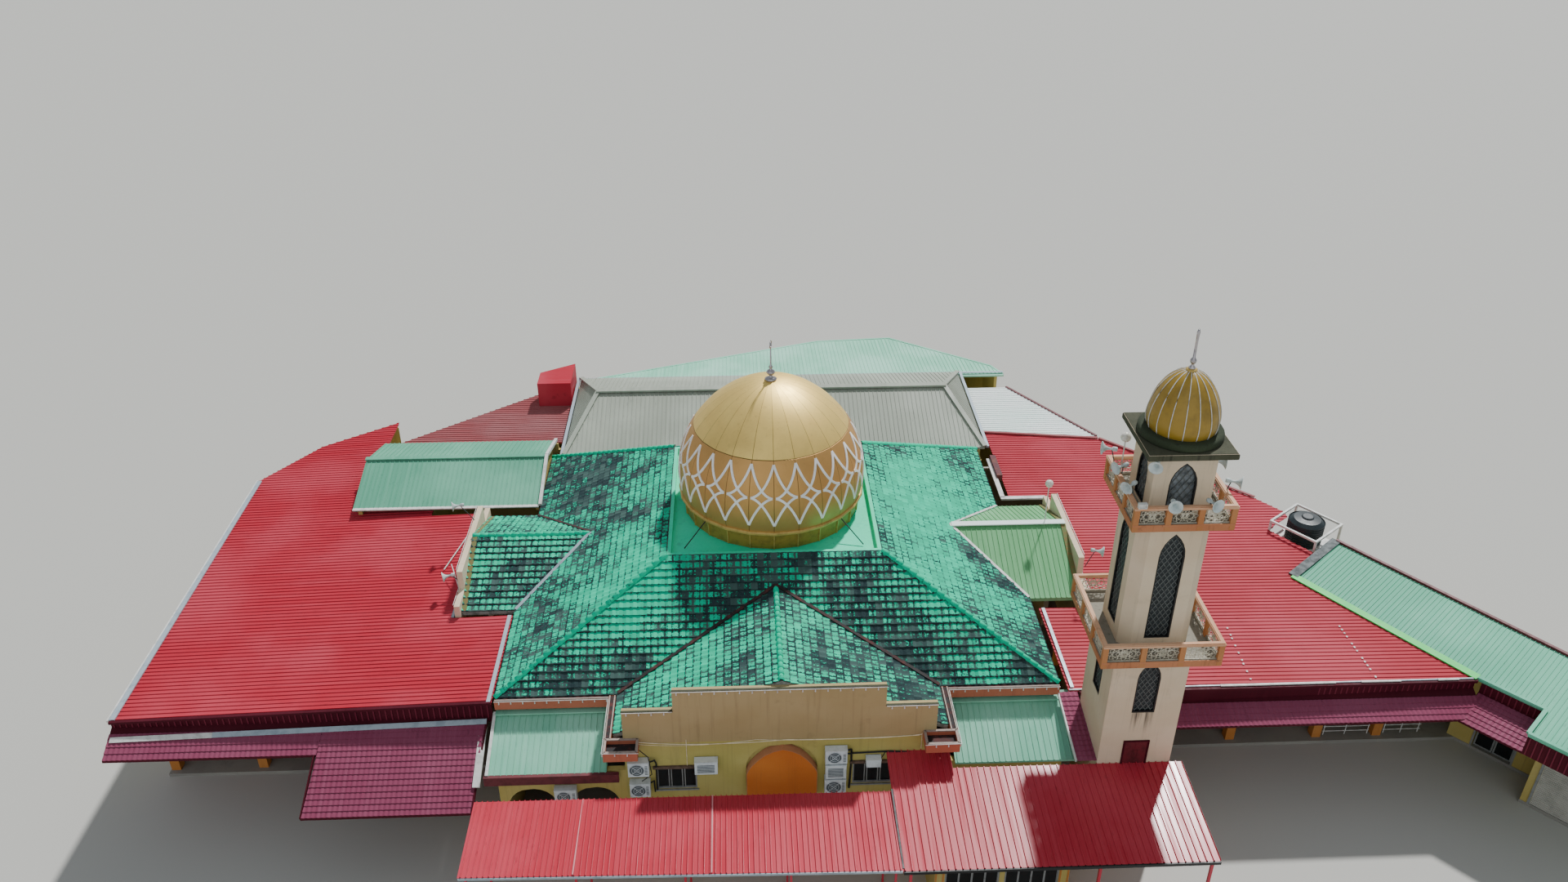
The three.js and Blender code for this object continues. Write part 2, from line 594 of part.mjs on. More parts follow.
// Veranda posts with the beam that they carry
function verandaRow(x0, x1, postPlaces, under) {
  const foot = veranda.line - veranda.postFront;
  const beam = wallAlong([[x0, veranda.line], [x1, veranda.line]], veranda.beam, veranda.foot, under);
  const posts = postPlaces.map((x) => box(x, x + veranda.post, foot, foot + veranda.post, floorTop + seam,
    veranda.postTop));
  return joined([beam, ...posts]);
}

function leftWingParts() {
  const wing = leftWing;
  const roof = (x) => wing.zHall + wing.fall * (x + 11.6);
  const under = (x) => roof(x) - roofSheet - seam;
  place('left_wing_roof', plate([
    [wing.left, wing.front], [wing.right, wing.front], [wing.right, -4.15], [-14.3, -4.15], [-14.3, 4.3],
    [-17.0, 4.3], [-17.0, 5.0], [-20.95, 5.0], [-20.95, 14.4], [-24.6, 12.0], [-26.95, 8.6],
  ], roof, roofSheet), 'redSheet');
  const band = plate([
    [wing.left, wing.front], [wing.right, wing.front], [wing.right, wing.front + bandDepth],
    [wing.left, wing.front + bandDepth],
  ], under, wing.band);
  const skirt = plate([
    [wing.left, leftSkirt.front], [-18.4, leftSkirt.front], [-18.6, leftSkirt.awning], [-12.15, leftSkirt.awning],
    [-11.8, wing.front + 0.05], [wing.left, wing.front + 0.05],
  ], (x, y) => leftSkirt.top + leftSkirt.fall * (y - wing.front), skirtSheet);
  place('left_wing_front', band.add(skirt), 'maroon');
  place('left_veranda_posts', verandaRow(-26.7, -11.7, veranda.left, under), 'orange');
  place('left_wing_wall', wallAlong([
    [-21.0, 14.2], [-24.5, 11.8], [-26.7, 8.5], [-26.7, veranda.line + 0.4],
  ], wingWall, floorTop + seam, under), 'yellow');
  place('left_wing_floor', upright([
    [-26.75, -7.3], [-hall.wallX - seam, -7.3], [-hall.wallX - seam, 8.9], [-20.9, 8.9], [-20.9, 14.3],
    [-24.55, 11.9], [-26.75, 8.6],
  ], 0, floorTop), 'concrete');
}

// The annex is drawn in its own frame with its front towards -Y, then turned into place.
function turnAnnex(solid) {
  return solid.rotate([0, 0, annex.turn]).translate([annex.x, annex.y, 0]);
}

// The square frame of the water tank stands at an angle in a notch of the roof.
function turnTank(solid) {
  return solid.rotate([0, 0, tank.turn]).translate([tank.x, tank.y, 0]);
}

// Right wing: the same kind of roof, ending at the turned annex

function rightWingParts() {
  const wing = rightWing;
  const roof = (x) => wing.zHall - wing.fall * (x - 12);
  const under = (x) => roof(x) - roofSheet - seam;
  const sheet = plate([
    [wing.end + 0.15, wing.front + wing.skew], [26.7, -0.4], [26.25, -0.09], [25.58, 0.53], [25.24, 1.86],
    [25.3, 2.3], [26.3, 3.5], [25.3, 4.8], [18.8, 11.15], [12.5, 11.95], [12.5, 5.1], [14.3, 5.1], [14.3, -4.15],
    [11.95, -4.15], [11.95, wing.front],
  ], roof, roofSheet);
  const clear = tank.half + tank.post + seam;
  const notch = turnTank(box(-clear, clear, -clear, clear, 0, far));
  const besideAnnex = turnAnnex(upright(grown(annexOutline, seam), 0, far));
  place('right_wing_roof', sheet.subtract(besideAnnex).subtract(notch), 'redSheet');
  const start = 16.0;
  const endFront = wing.front + wing.skew;
  const band = plate([
    [start, wing.front], [wing.end, endFront], [wing.end, endFront + bandDepth], [start, wing.front + bandDepth],
  ], under, wing.band);
  const skirt = plate([
    [start, rightSkirt.front], [29.0, rightSkirt.front], [wing.end, -9.7], [wing.end, endFront + 0.05],
    [start, wing.front + 0.05],
  ], (x, y) => rightSkirt.top + rightSkirt.fall * (y - wing.front), skirtSheet);
  const past = turnAnnex(box(annexMitre - seam, far, -far, far, 0, far));
  place('right_wing_front', band.add(skirt).subtract(past), 'maroon');
  const posts = verandaRow(12.0, 30.6, veranda.right, under);
  place('right_veranda_posts', posts.subtract(turnAnnex(box(0, 9, -0.2, 3, 0, 9))), 'orange');
  const rearHeight = rightRearHeight - roofSheet - seam;
  place('right_wing_wall', wallAlong([
    [24.75, -2.3], [24.75, 4.9], [18.6, 11.05], [14.7, 17.5], [12.4, 17.5],
  ], wingWall, floorTop + seam, (x, y) => (y > 12 ? rearHeight : under(x))), 'yellow');
  const wingFloor = upright([
    [hall.wallX + seam, -7.3], [30.95, -7.3], [30.6, -6.8], [24.8, -1.6], [24.78, 4.95], [18.65, 11.1],
    [12.5, 11.85], [12.5, 8.9], [hall.wallX + seam, 8.9],
  ], 0, floorTop);
  const annexFloor = upright([
    [-6.7, -1.45], [1.1, -0.02], [4.6, -0.02], [4.6, -1.82], [9.32, -1.82], [9.32, 0.8], [-6.62, 2.2],
  ], 0, floorTop);
  place('right_wing_floor', wingFloor.add(turnAnnex(annexFloor)), 'concrete');
}

// Hall behind the dome hall, under a hipped sheet roof, with lower roofs round it

function rearParts() {
  const r = rearHall;
  const middle = (r.front + r.back) / 2;
  const eaves = [
    [r.left, r.front, r.eave], [r.right, r.front, r.eave], [r.right, r.back, r.eave], [r.left, r.back, r.eave],
  ];
  const ridge = [[r.ridgeLeft, middle, r.ridge], [r.ridgeRight, middle, r.ridge]];
  const shell = hull([...eaves, ...ridge, ...eaves.map(([x, y, z]) => [x, y, z - r.sheet])]);
  place('rear_hall_roof', shell.subtract(roomUnder(eaves, ridge, r.sheet)), 'beigeSheet');
  const room = roomUnder(eaves, ridge, r.sheet + seam);
  const sides = [r.wallLeft, r.wallRight - r.wall].flatMap((x) => [
    box(x, x + r.wall, r.front, r.wallBack, 0, 9).intersect(room),
    box(x, x + r.wall, hall.backY + seam, r.front + 0.3, 0, 5.5),
  ]);
  const back = box(r.wallLeft, r.wallRight, r.wallBack - r.wall, r.wallBack, 0, 9).intersect(room);
  place('rear_hall_walls', joined([...sides, back]), 'yellow');
  const leanHeight = (x, y) => rearLeanTo.height - rearLeanTo.fall * (y - rearLeanTo.line);
  place('rear_lean_to_roof', plate([
    [-10.9, rearLeanTo.start + seam], [14.9, rearLeanTo.start + seam], [14.4, 20.4], [8.7, 26.15], [3.85, 25.75],
  ], leanHeight, roofSheet), 'greenSheet');
  const leanWall = wallAlong([
    [14.6, 19.1], [14.15, 20.3], [8.6, 25.9], [3.9, 25.5], [-10.9, 19.15],
  ], wingWall, 0, (x, y) => leanHeight(x, y) - roofSheet - seam);
  const leftWall = wallAlong([
    [-10.8, 19.15], [-11.4, 18.95], [-13.3, 17.6], [-20.0, 12.35],
  ], wingWall, 0, () => leftRear.height - roofSheet - seam);
  place('rear_outer_wall', leanWall.add(leftWall), 'yellow');
  place('right_rear_roof', plate([
    [12.35, 12.15], [18.7, 11.35], [14.8, 17.6], [12.35, 17.6],
  ], () => rightRearHeight, roofSheet), 'greenSheet');
}

// Sheet roofs at the left rear, with a raised box where they meet the rear hall

function leftRearParts() {
  const g = leftGabled;
  const underEave = g.eave - g.sheet;
  const underRidge = g.ridge - g.sheet;
  place('left_gabled_roof', alongX([
    [g.front, g.eave], [g.front, underEave], [g.line, underRidge], [g.back, underEave], [g.back, g.eave],
    [g.line, g.ridge],
  ], g.left, g.right), 'greenSheet');
  const room = alongX([
    [g.front, -1], [g.back, -1], [g.back, underEave - seam], [g.line, underRidge - seam], [g.front, underEave - seam],
  ], -far, far);
  const backLine = 10.9;
  const wallTop = 5.7;
  place('left_gabled_walls', joined([
    box(-20.7, -11.4, backLine, backLine + wingWall, 0, 9),
    box(-20.7, -20.5, g.front + 0.1, backLine + wingWall, 5.66, 9),
    box(-11.8, -11.65, g.front + 0.1, backLine + wingWall, 5.75, 9),
    box(-11.5, rearHall.wallLeft - seam, backLine, backLine + wingWall, 0, wallTop),
  ]).intersect(room), 'yellow');
  const sheet = plate([
    [-20.3, 12.3], [-11.2, 12.1], [-11.2, 19.3], [-13.4, 17.9],
  ], () => leftRear.height, roofSheet);
  const raised = upright([
    [-13.2, 16.4], [-11.25, 16.4], [-11.25, 19.0], [-13.2, 17.85],
  ], leftRear.height - 0.05, leftRear.boxTop);
  place('left_rear_roof', sheet.add(raised), 'redSheet');
}

// Annex: a narrow room with a double door, and a store with a roller shutter that stands further forward

function annexDoors() {
  const middle = (annexDoor.from + annexDoor.to) / 2;
  const spans = [
    ['annex_door_left', annexDoor.from + doorGap, middle - annexDoor.between / 2],
    ['annex_door_right', annexDoor.to - doorGap, middle + annexDoor.between / 2],
  ];
  for (const [name, hinge, edge] of spans) {
    const leaf = box(Math.min(hinge, edge), Math.max(hinge, edge), annex.wall - annexDoor.leaf, annex.wall,
      floorTop + annexDoor.lift, annexDoor.top - annexDoor.lift);
    const pin = new THREE.CylinderGeometry(annexDoor.pin, annexDoor.pin, annexDoor.top - floorTop - 2 * seam, 8);
    pin.rotateX(Math.PI / 2);
    pin.translate(hinge + Math.sign(edge - hinge) * annexDoor.pivot, annex.wall - annexDoor.pivot,
      (annexDoor.top + floorTop) / 2);
    place(name, turnAnnex(leaf.add(toSolid(pin))), 'glass');
  }
}

function annexParts() {
  const height = (x, y) => annex.edgeHeight + annex.fall * (y - annex.frontEdge);
  const under = (x, y) => height(x, y) - roofSheet - seam;
  const front = annexShutter.y;
  place('annex_roof', turnAnnex(plate(annexOutline, height, roofSheet)), 'greenSheet');
  const rearWall = wallAlong([[9.3, -1.7], [9.3, 0.78], [-6.6, 2.18], [-6.6, -1.3]], annex.wall,
    floorTop + seam, under);
  const frontWall = wallAlong([[0.83, 1.5], [0.83, 0], [4.62, 0], [4.62, front], [9.3, front]], annex.wall,
    floorTop + seam, under);
  const openings = joined([
    box(annexDoor.from, annexDoor.to, -1, 1, 0, annexDoor.top),
    box(annexShutter.from, annexShutter.to, front - 1, front + 1, 0, annexShutter.top),
  ]);
  place('annex_walls', turnAnnex(rearWall.add(frontWall).subtract(openings)), 'yellow');
  const shutterFace = front + 0.05;
  place('annex_shutter', turnAnnex(box(annexShutter.from + seam, annexShutter.to - seam, shutterFace,
    shutterFace + annexShutter.thickness, floorTop + seam, annexShutter.top - seam)), 'white');
  const s = annexSkirt;
  const skirt = plate([
    [annexMitre, s.front], [s.storeEdge + 0.05, s.front], [s.storeEdge + 0.05, -2.45], [annexMitre, -2.45],
  ], (x, y) => s.top + s.fall * (y - annex.frontEdge), skirtSheet);
  const bands = [
    wallAlong([[annexMitre, annex.frontEdge], [s.storeEdge, annex.frontEdge]], bandDepth, 4.75, under),
    wallAlong([[s.storeEdge, annex.frontEdge + bandDepth], [s.storeEdge, s.storeFront], [9.58, s.storeFront]],
      bandDepth, 4.3, under),
  ];
  place('annex_front', turnAnnex(joined([...bands, skirt])), 'maroon');
}

// Water tank on its frame

function waterTank() {
  const half = tank.half;
  const post = tank.post;
  const bar = 2 * post;
  const posts = squareCorners(half, half, 0).map(([x, y]) => (
    box(x - post, x + post, y - post, y + post, 0, tank.frameTop)));
  const square = (z) => box(-half - post, half + post, -half - post, half + post, z, z + bar)
    .subtract(box(-half + post, half - post, -half + post, half - post, z - 1, z + 1));
  const deck = box(-half, half, -half, half, tank.deck, tank.deck + bar);
  const r = tank.radius;
  const foot = tank.deck + bar - 0.02;
  const vessel = turned([
    [0, foot], [r - 0.03, foot], [r, foot + 0.12], [r, tank.top - 0.23], [r - 0.23, tank.top - 0.06], [0, tank.top],
  ], 24);
  const squares = [square(tank.frameTop - bar), square(tank.midBar)];
  place('water_tank', turnTank(joined([deck, ...posts, ...squares, vessel])), 'white');
}

crossGables();
hallBody();
hallRoof();
goldDome();
porticoWall();
frontWalls();
gutters();
lowRoofs();
frontCanopies();
minaretTower();
leftWingParts();
rightWingParts();
rearParts();
leftRearParts();
annexDoors();
annexParts();
waterTank();

export default building;
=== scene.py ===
# Mosque building with a gold dome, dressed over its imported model.
# Sizes below are real metres; toModel brings them to the 1:2 model.
import json
import math
import bpy
import numpy as np
from mathutils import Matrix, Vector


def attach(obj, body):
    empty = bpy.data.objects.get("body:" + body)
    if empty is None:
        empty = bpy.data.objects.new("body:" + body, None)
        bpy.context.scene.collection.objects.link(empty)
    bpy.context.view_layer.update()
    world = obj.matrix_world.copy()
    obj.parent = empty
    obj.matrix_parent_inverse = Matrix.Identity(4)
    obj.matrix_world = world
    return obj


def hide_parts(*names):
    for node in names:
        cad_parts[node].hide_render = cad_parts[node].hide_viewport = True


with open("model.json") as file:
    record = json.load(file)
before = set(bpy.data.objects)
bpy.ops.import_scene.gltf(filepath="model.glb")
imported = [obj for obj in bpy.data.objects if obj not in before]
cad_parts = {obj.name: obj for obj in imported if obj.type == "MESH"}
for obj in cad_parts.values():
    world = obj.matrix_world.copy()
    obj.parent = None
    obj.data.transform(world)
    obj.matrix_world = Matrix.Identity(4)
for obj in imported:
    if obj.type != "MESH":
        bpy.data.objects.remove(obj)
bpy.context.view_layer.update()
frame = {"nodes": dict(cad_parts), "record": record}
toModel = 0.5
rng = np.random.default_rng(7)

camera = {
    "place": (-1.411, -47.130, 39.268),    # real metres from the middle of the hall
    "pitch": 29.823,                       # degrees below the horizon
    "yaw": 2.425,                          # degrees towards +X
    "roll": 0.091,
    "lens": 27.715,                        # mm on a 36 mm sensor
}


def addCamera():
    pitch, yaw, roll = (math.radians(camera[key]) for key in ("pitch", "yaw", "roll"))
    right = np.array([math.cos(yaw), -math.sin(yaw), 0.0])
    ahead = np.array([math.sin(yaw) * math.cos(pitch), math.cos(yaw) * math.cos(pitch), -math.sin(pitch)])
    up = np.cross(right, ahead)
    right, up = right * math.cos(roll) + up * math.sin(roll), up * math.cos(roll) - right * math.sin(roll)
    data = bpy.data.cameras.new("photoCamera")
    data.lens = camera["lens"]
    data.sensor_width = 36
    data.clip_end = 500
    eye = bpy.data.objects.new("photoCamera", data)
    bpy.context.scene.collection.objects.link(eye)
    turn = Matrix((right, up, -ahead)).transposed().to_4x4()
    eye.matrix_world = Matrix.Translation(Vector(camera["place"]) * toModel) @ turn
    bpy.context.scene.camera = eye


light = {
    "sunTowards": (0.30, 0.56, 0.77),      # from the building to the sun, behind it and to the right
    "sunStrength": 4.4,
    "sunSpread": 3.0,                      # degrees, so the shadows stay soft
    "skyColour": "#dfe9f2",
    "skyStrength": 0.46,
    "fillTowards": (-0.15, -1.0, 0.16),    # a broad soft light on the shaded front
    "fillStrength": 0.8,
    "fillSpread": 90.0,
    "floorColour": "#b9b8b2",
}


def linear(text):
    # sRGB hex to linear light
    value = np.array([int(text[i:i + 2], 16) for i in (1, 3, 5)]) / 255
    value = np.where(value <= 0.04045, value / 12.92, ((value + 0.055) / 1.055) ** 2.4)
    return (*map(float, value), 1.0)


def addLight():
    world = bpy.data.worlds.new("paleSky")
    bpy.context.scene.world = world
    world.use_nodes = True
    background = world.node_tree.nodes["Background"]
    background.inputs["Color"].default_value = linear(light["skyColour"])
    background.inputs["Strength"].default_value = light["skyStrength"]
    for name in ("sun", "fill"):
        lamp = bpy.data.lights.new(name, "SUN")
        lamp.energy = light[name + "Strength"]
        lamp.angle = math.radians(light[name + "Spread"])
        lampObject = bpy.data.objects.new(name, lamp)
        lampObject.rotation_euler = Vector(light[name + "Towards"]).to_track_quat("Z", "Y").to_euler()
        bpy.context.scene.collection.objects.link(lampObject)


addCamera()
addLight()
print("camera and light are in")


# Materials

def fill(tree, node, inputs):
    # Gives each input a number, a hex colour or the output of another node
    for key, value in inputs.items():
        if isinstance(value, bpy.types.NodeSocket):
            tree.links.new(value, node.inputs[key])
        else:
            node.inputs[key].default_value = linear(value) if isinstance(value, str) else value
    return node


def addNode(tree, kind, inputs=None, **settings):
    # One node with its settings and its inputs
    node = tree.nodes.new("ShaderNode" + kind)
    for key, value in settings.items():
        setattr(node, key, value)
    return fill(tree, node, inputs or {})


def startFinish(name, rough, metal=0.0, specular=0.5):
    material = bpy.data.materials.new(name)
    material.use_nodes = True
    tree = material.node_tree
    shader = fill(tree, tree.nodes["Principled BSDF"],
                  {"Roughness": rough, "Metallic": metal, "Specular IOR Level": specular})
    return material, tree, shader


def noiseOn(tree, place, sizes, detail=4.0, rough=0.55, turn=0.0):
    # Noise whose grain is so many real metres along X, Y and Z, after a turn about Z
    turned = addNode(tree, "Mapping", {"Vector": place, "Rotation": (0, 0, turn),
                                       "Scale": tuple(toModel * size for size in sizes)}, vector_type="TEXTURE")
    return addNode(tree, "TexNoise", {"Vector": turned.outputs["Vector"], "Scale": 1.0, "Detail": detail,
                                      "Roughness": rough}).outputs["Fac"]


def ramp(tree, value, low, high, a=0.0, b=1.0):
    return addNode(tree, "MapRange", {"Value": value, "From Min": low, "From Max": high, "To Min": a, "To Max": b},
                   interpolation_type="SMOOTHSTEP").outputs["Result"]


def mixed(tree, factor, first, second):
    return addNode(tree, "Mix", {0: factor, 6: first, 7: second}, data_type="RGBA").outputs[2]


def compute(tree, operation, *values):
    return addNode(tree, "Math", dict(enumerate(values)), operation=operation).outputs[0]


def addBump(tree, shader, height, distance, strength):
    # Relief in the shading, its depth in real metres, without moving a point
    bump = addNode(tree, "Bump", {"Height": height, "Strength": strength, "Distance": distance * toModel})
    fill(tree, shader, {"Normal": bump.outputs["Normal"]})


def objectPlace(tree):
    return addNode(tree, "TexCoord").outputs["Object"]


def flatPlace(tree):
    # The layer "flat", as its two numbers
    flat = addNode(tree, "UVMap", uv_map="flat").outputs["UV"]
    return addNode(tree, "SeparateXYZ", {"Vector": flat}).outputs


def prePaintedSheet(name, clean, faded, dirt, turn=0.0, rough=0.45, specular=0.08):
    # Prepainted steel sheet: a satin film that chalks unevenly, with dust washed along the ribs
    material, tree, shader = startFinish(name, rough, specular=specular)
    place = objectPlace(tree)
    broad = noiseOn(tree, place, (5, 5, 5), 3)
    streak = noiseOn(tree, place, (6.0, 0.22, 6.0), 3, 0.6, turn)
    fine = noiseOn(tree, place, (0.5, 0.12, 0.5), 4, 0.7, turn)
    colour = mixed(tree, ramp(tree, broad, 0.38, 0.66), clean, faded)
    colour = mixed(tree, ramp(tree, streak, 0.42, 0.75, 0.0, 0.55), colour, faded)
    colour = mixed(tree, ramp(tree, fine, 0.56, 0.8, 0.0, 0.5), colour, dirt)
    fill(tree, shader, {"Base Color": colour, "Roughness": ramp(tree, streak, 0.3, 0.8, rough - 0.06, rough + 0.16)})
    addBump(tree, shader, broad, 0.02, 0.25)
    return material


def paintedRender(name, clean, worn, stain, streaks=0.6, rough=0.85, damp=0.5, below=None, sill=None):
    # Painted cement render: matt, brushed unevenly, with rain streaks and grey algae where water runs.
    # below is another pair of paints under a height; sill is (left, right, low, high) of dirt under an opening
    material, tree, shader = startFinish(name, rough)
    place = objectPlace(tree)
    parts = addNode(tree, "SeparateXYZ", {"Vector": place}).outputs
    if below:
        split = below[0] * toModel
        upper = ramp(tree, parts["Z"], split - 0.01, split + 0.01)
        clean, worn = mixed(tree, upper, below[1], clean), mixed(tree, upper, below[2], worn)
    broad = noiseOn(tree, place, (3, 3, 2.2), 4)
    runs = noiseOn(tree, place, (0.16, 0.16, 3.5), 4, 0.65)
    grit = noiseOn(tree, place, (0.05, 0.05, 0.05), 5, 0.7)
    blot = noiseOn(tree, place, (0.9, 0.9, 0.7), 6, 0.7)
    colour = mixed(tree, ramp(tree, broad, 0.35, 0.68), clean, worn)
    colour = mixed(tree, ramp(tree, runs, 0.52, 0.78, 0.0, streaks), colour, stain)
    colour = mixed(tree, ramp(tree, blot, 0.56, 0.8, 0.0, damp), colour, stain)
    if sill:
        left, right, low, high = (value * toModel for value in sill)
        mask = ramp(tree, parts["X"], left - 0.05, left + 0.05)
        for side in (ramp(tree, parts["X"], right - 0.05, right + 0.05, 1.0, 0.0), ramp(tree, parts["Z"], low, high),
                     ramp(tree, parts["Z"], high, high + 0.02, 1.0, 0.0), ramp(tree, runs, 0.35, 0.65)):
            mask = compute(tree, "MULTIPLY", mask, side)
        colour = mixed(tree, mask, colour, "#4a463d")
    fill(tree, shader, {"Base Color": colour, "Roughness": ramp(tree, grit, 0.3, 0.7, rough - 0.08, rough + 0.08)})
    addBump(tree, shader, grit, 0.006, 0.5)
    return material


def mouldyTile(name, glaze, glazeDeep, mould, mouldPale):
    # Painted concrete roof tile: bright green paint left in patches between dark mould on whole tiles.
    # The piece carries how mouldy each tile is, with painted shade added on each course's front edge, and how
    # its colour differs, as face attributes, and its joints as the whole numbers of the layer "flat".
    material, tree, shader = startFinish(name, 0.62, specular=0.06)
    place = objectPlace(tree)
    mouldy, shade = (addNode(tree, "Attribute", attribute_name=key).outputs["Fac"] for key in ("mould", "shade"))
    ragged = noiseOn(tree, place, (0.09, 0.09, 0.09), 4, 0.8)
    speck = noiseOn(tree, place, (0.03, 0.03, 0.03), 4, 0.7)
    parts = flatPlace(tree)
    sideJoint, rowJoint = (compute(tree, "PINGPONG", parts[axis], 0.5) for axis in ("X", "Y"))
    # darker near the joints: dirt in the joints between tiles, and painted shade along the edges of each course where
    # the next course overlaps
    joint = compute(tree, "MAXIMUM", ramp(tree, sideJoint, 0.36, 0.5, 0.0, 0.16),
                    ramp(tree, rowJoint, 0.05, 0.2, 0.42, 0.0))
    level = compute(tree, "MULTIPLY_ADD", ragged, 1.7, compute(tree, "ADD", mouldy, joint))
    covered = ramp(tree, level, 1.3, 1.46)
    green = mixed(tree, ramp(tree, shade, 0.0, 1.0), glaze, glazeDeep)
    green = mixed(tree, ramp(tree, speck, 0.55, 0.75, 0.0, 0.35), green, mould)
    dark = mixed(tree, ramp(tree, shade, 0.2, 1.0), mould, mouldPale)
    dark = mixed(tree, ramp(tree, ragged, 0.35, 0.7, 0.0, 0.4), dark, mouldPale)
    fill(tree, shader, {"Base Color": mixed(tree, covered, green, dark),
                        "Roughness": ramp(tree, covered, 0.0, 1.0, 0.5, 0.88)})
    addBump(tree, shader, speck, 0.004, 0.4)
    return material


def plainFinish(name, colour, rough, metal, worn, size=0.3):
    # A small painted or bare part: one colour with dust lying on it unevenly
    material, tree, shader = startFinish(name, rough, metal)
    grain = noiseOn(tree, objectPlace(tree), (size, size, size), 4, 0.65)
    fill(tree, shader, {"Base Color": mixed(tree, ramp(tree, grain, 0.42, 0.7), colour, worn),
                        "Roughness": ramp(tree, grain, 0.3, 0.7, rough - 0.05, rough + 0.1)})
    return material


def sectionShell(name, gold, paintedHighlightGold, bandHeight):
    # Gold painted sheet in gores: thin dark seams every gore and one seam round; below it a warmer gold, above it a
    # paler gold that is a painted highlight of the sunlit top
    material, tree, shader = startFinish(name, 0.5, 0.72)
    place = objectPlace(tree)
    parts = flatPlace(tree)
    seam = ramp(tree, compute(tree, "PINGPONG", parts["X"], 0.5), 0.0, 0.014, 1.0, 0.0)
    offBand = compute(tree, "SUBTRACT", parts["Y"], bandHeight)
    ring = ramp(tree, compute(tree, "ABSOLUTE", offBand), 0.0, 0.02, 1.0, 0.0)
    line = compute(tree, "MAXIMUM", seam, ring)
    broad = noiseOn(tree, place, (1.6, 1.6, 1.6), 4)
    fine = noiseOn(tree, place, (0.2, 0.2, 0.5), 4, 0.7)
    # paler gold above the round seam: a painted highlight of the sunlit top
    colour = mixed(tree, ramp(tree, offBand, -0.01, 0.01), gold, paintedHighlightGold)
    colour = mixed(tree, ramp(tree, broad, 0.35, 0.7, 0.0, 0.3), colour, "#ad8d52")
    colour = mixed(tree, ramp(tree, fine, 0.55, 0.8, 0.0, 0.25), colour, "#8d6f3a")
    colour = mixed(tree, line, colour, "#4d3a1c")
    fill(tree, shader, {"Base Color": colour, "Roughness": ramp(tree, broad, 0.3, 0.7, 0.46, 0.56)})
    addBump(tree, shader, compute(tree, "MULTIPLY_ADD", line, -1.0, 1.0), 0.02, 0.8)
    return material


redClean, redFaded, redDirt = "#b32f3e", "#bf4654", "#6e2028"
sheetPaints = {
    # Satin sheet steel: name, clean paint, chalked paint, dust; angle of the ribs, roughness, specular
    "redAlongX": ("redSheetAlongX", redClean, redFaded, redDirt),
    "redOldAlongX": ("fadedRedSheetAlongX", "#9a5053", "#a0686a", "#5f3a3c"),
    "redCanopy": ("glossyRedCanopySheet", "#bc3645", "#c64655", redDirt, math.pi / 2, 0.24, 0.2),
    "redPale": ("paleRedSeam", "#d98a90", "#e0a0a4", "#b0606a", math.pi / 2),
    "maroonSheet": ("maroonTileSheet", "#863f58", "#924e66", "#471e2e", math.pi / 2, 0.4),
    "maroonBand": ("darkMaroonBand", "#471420", "#551a27", "#270b11", math.pi / 2, 0.5),
    "maroonRib": ("maroonBandRib", "#6a2436", "#78303f", "#37121c", math.pi / 2, 0.45),
    "greenAlongY": ("greenSheetAlongY", "#7cc2a5", "#97d2b8", "#4f8470", math.pi / 2),
    "greenGabled": ("dullGreenSheet", "#5fa488", "#76b89c", "#3d6f5a", math.pi / 2),
    "greenAcross": ("paleGreenSheetAcross", "#70b27b", "#88c491", "#467a51", math.pi / 2),
    "greenRear": ("paleGreenRearSheet", "#8ed2b4", "#abe2ca", "#62997f", math.pi / 2),
    "greenAlongX": ("paleGreenSheetAlongX", "#effff9", "#fafffd", "#c4e4d8"),
    "greenAnnex": ("annexGreenSheet", "#5fb392", "#74c2a3", "#3e7a62", math.radians(40)),
    "beige": ("beigeSheet", "#9da396", "#aeb4a7", "#6c7068", math.pi / 2),
}
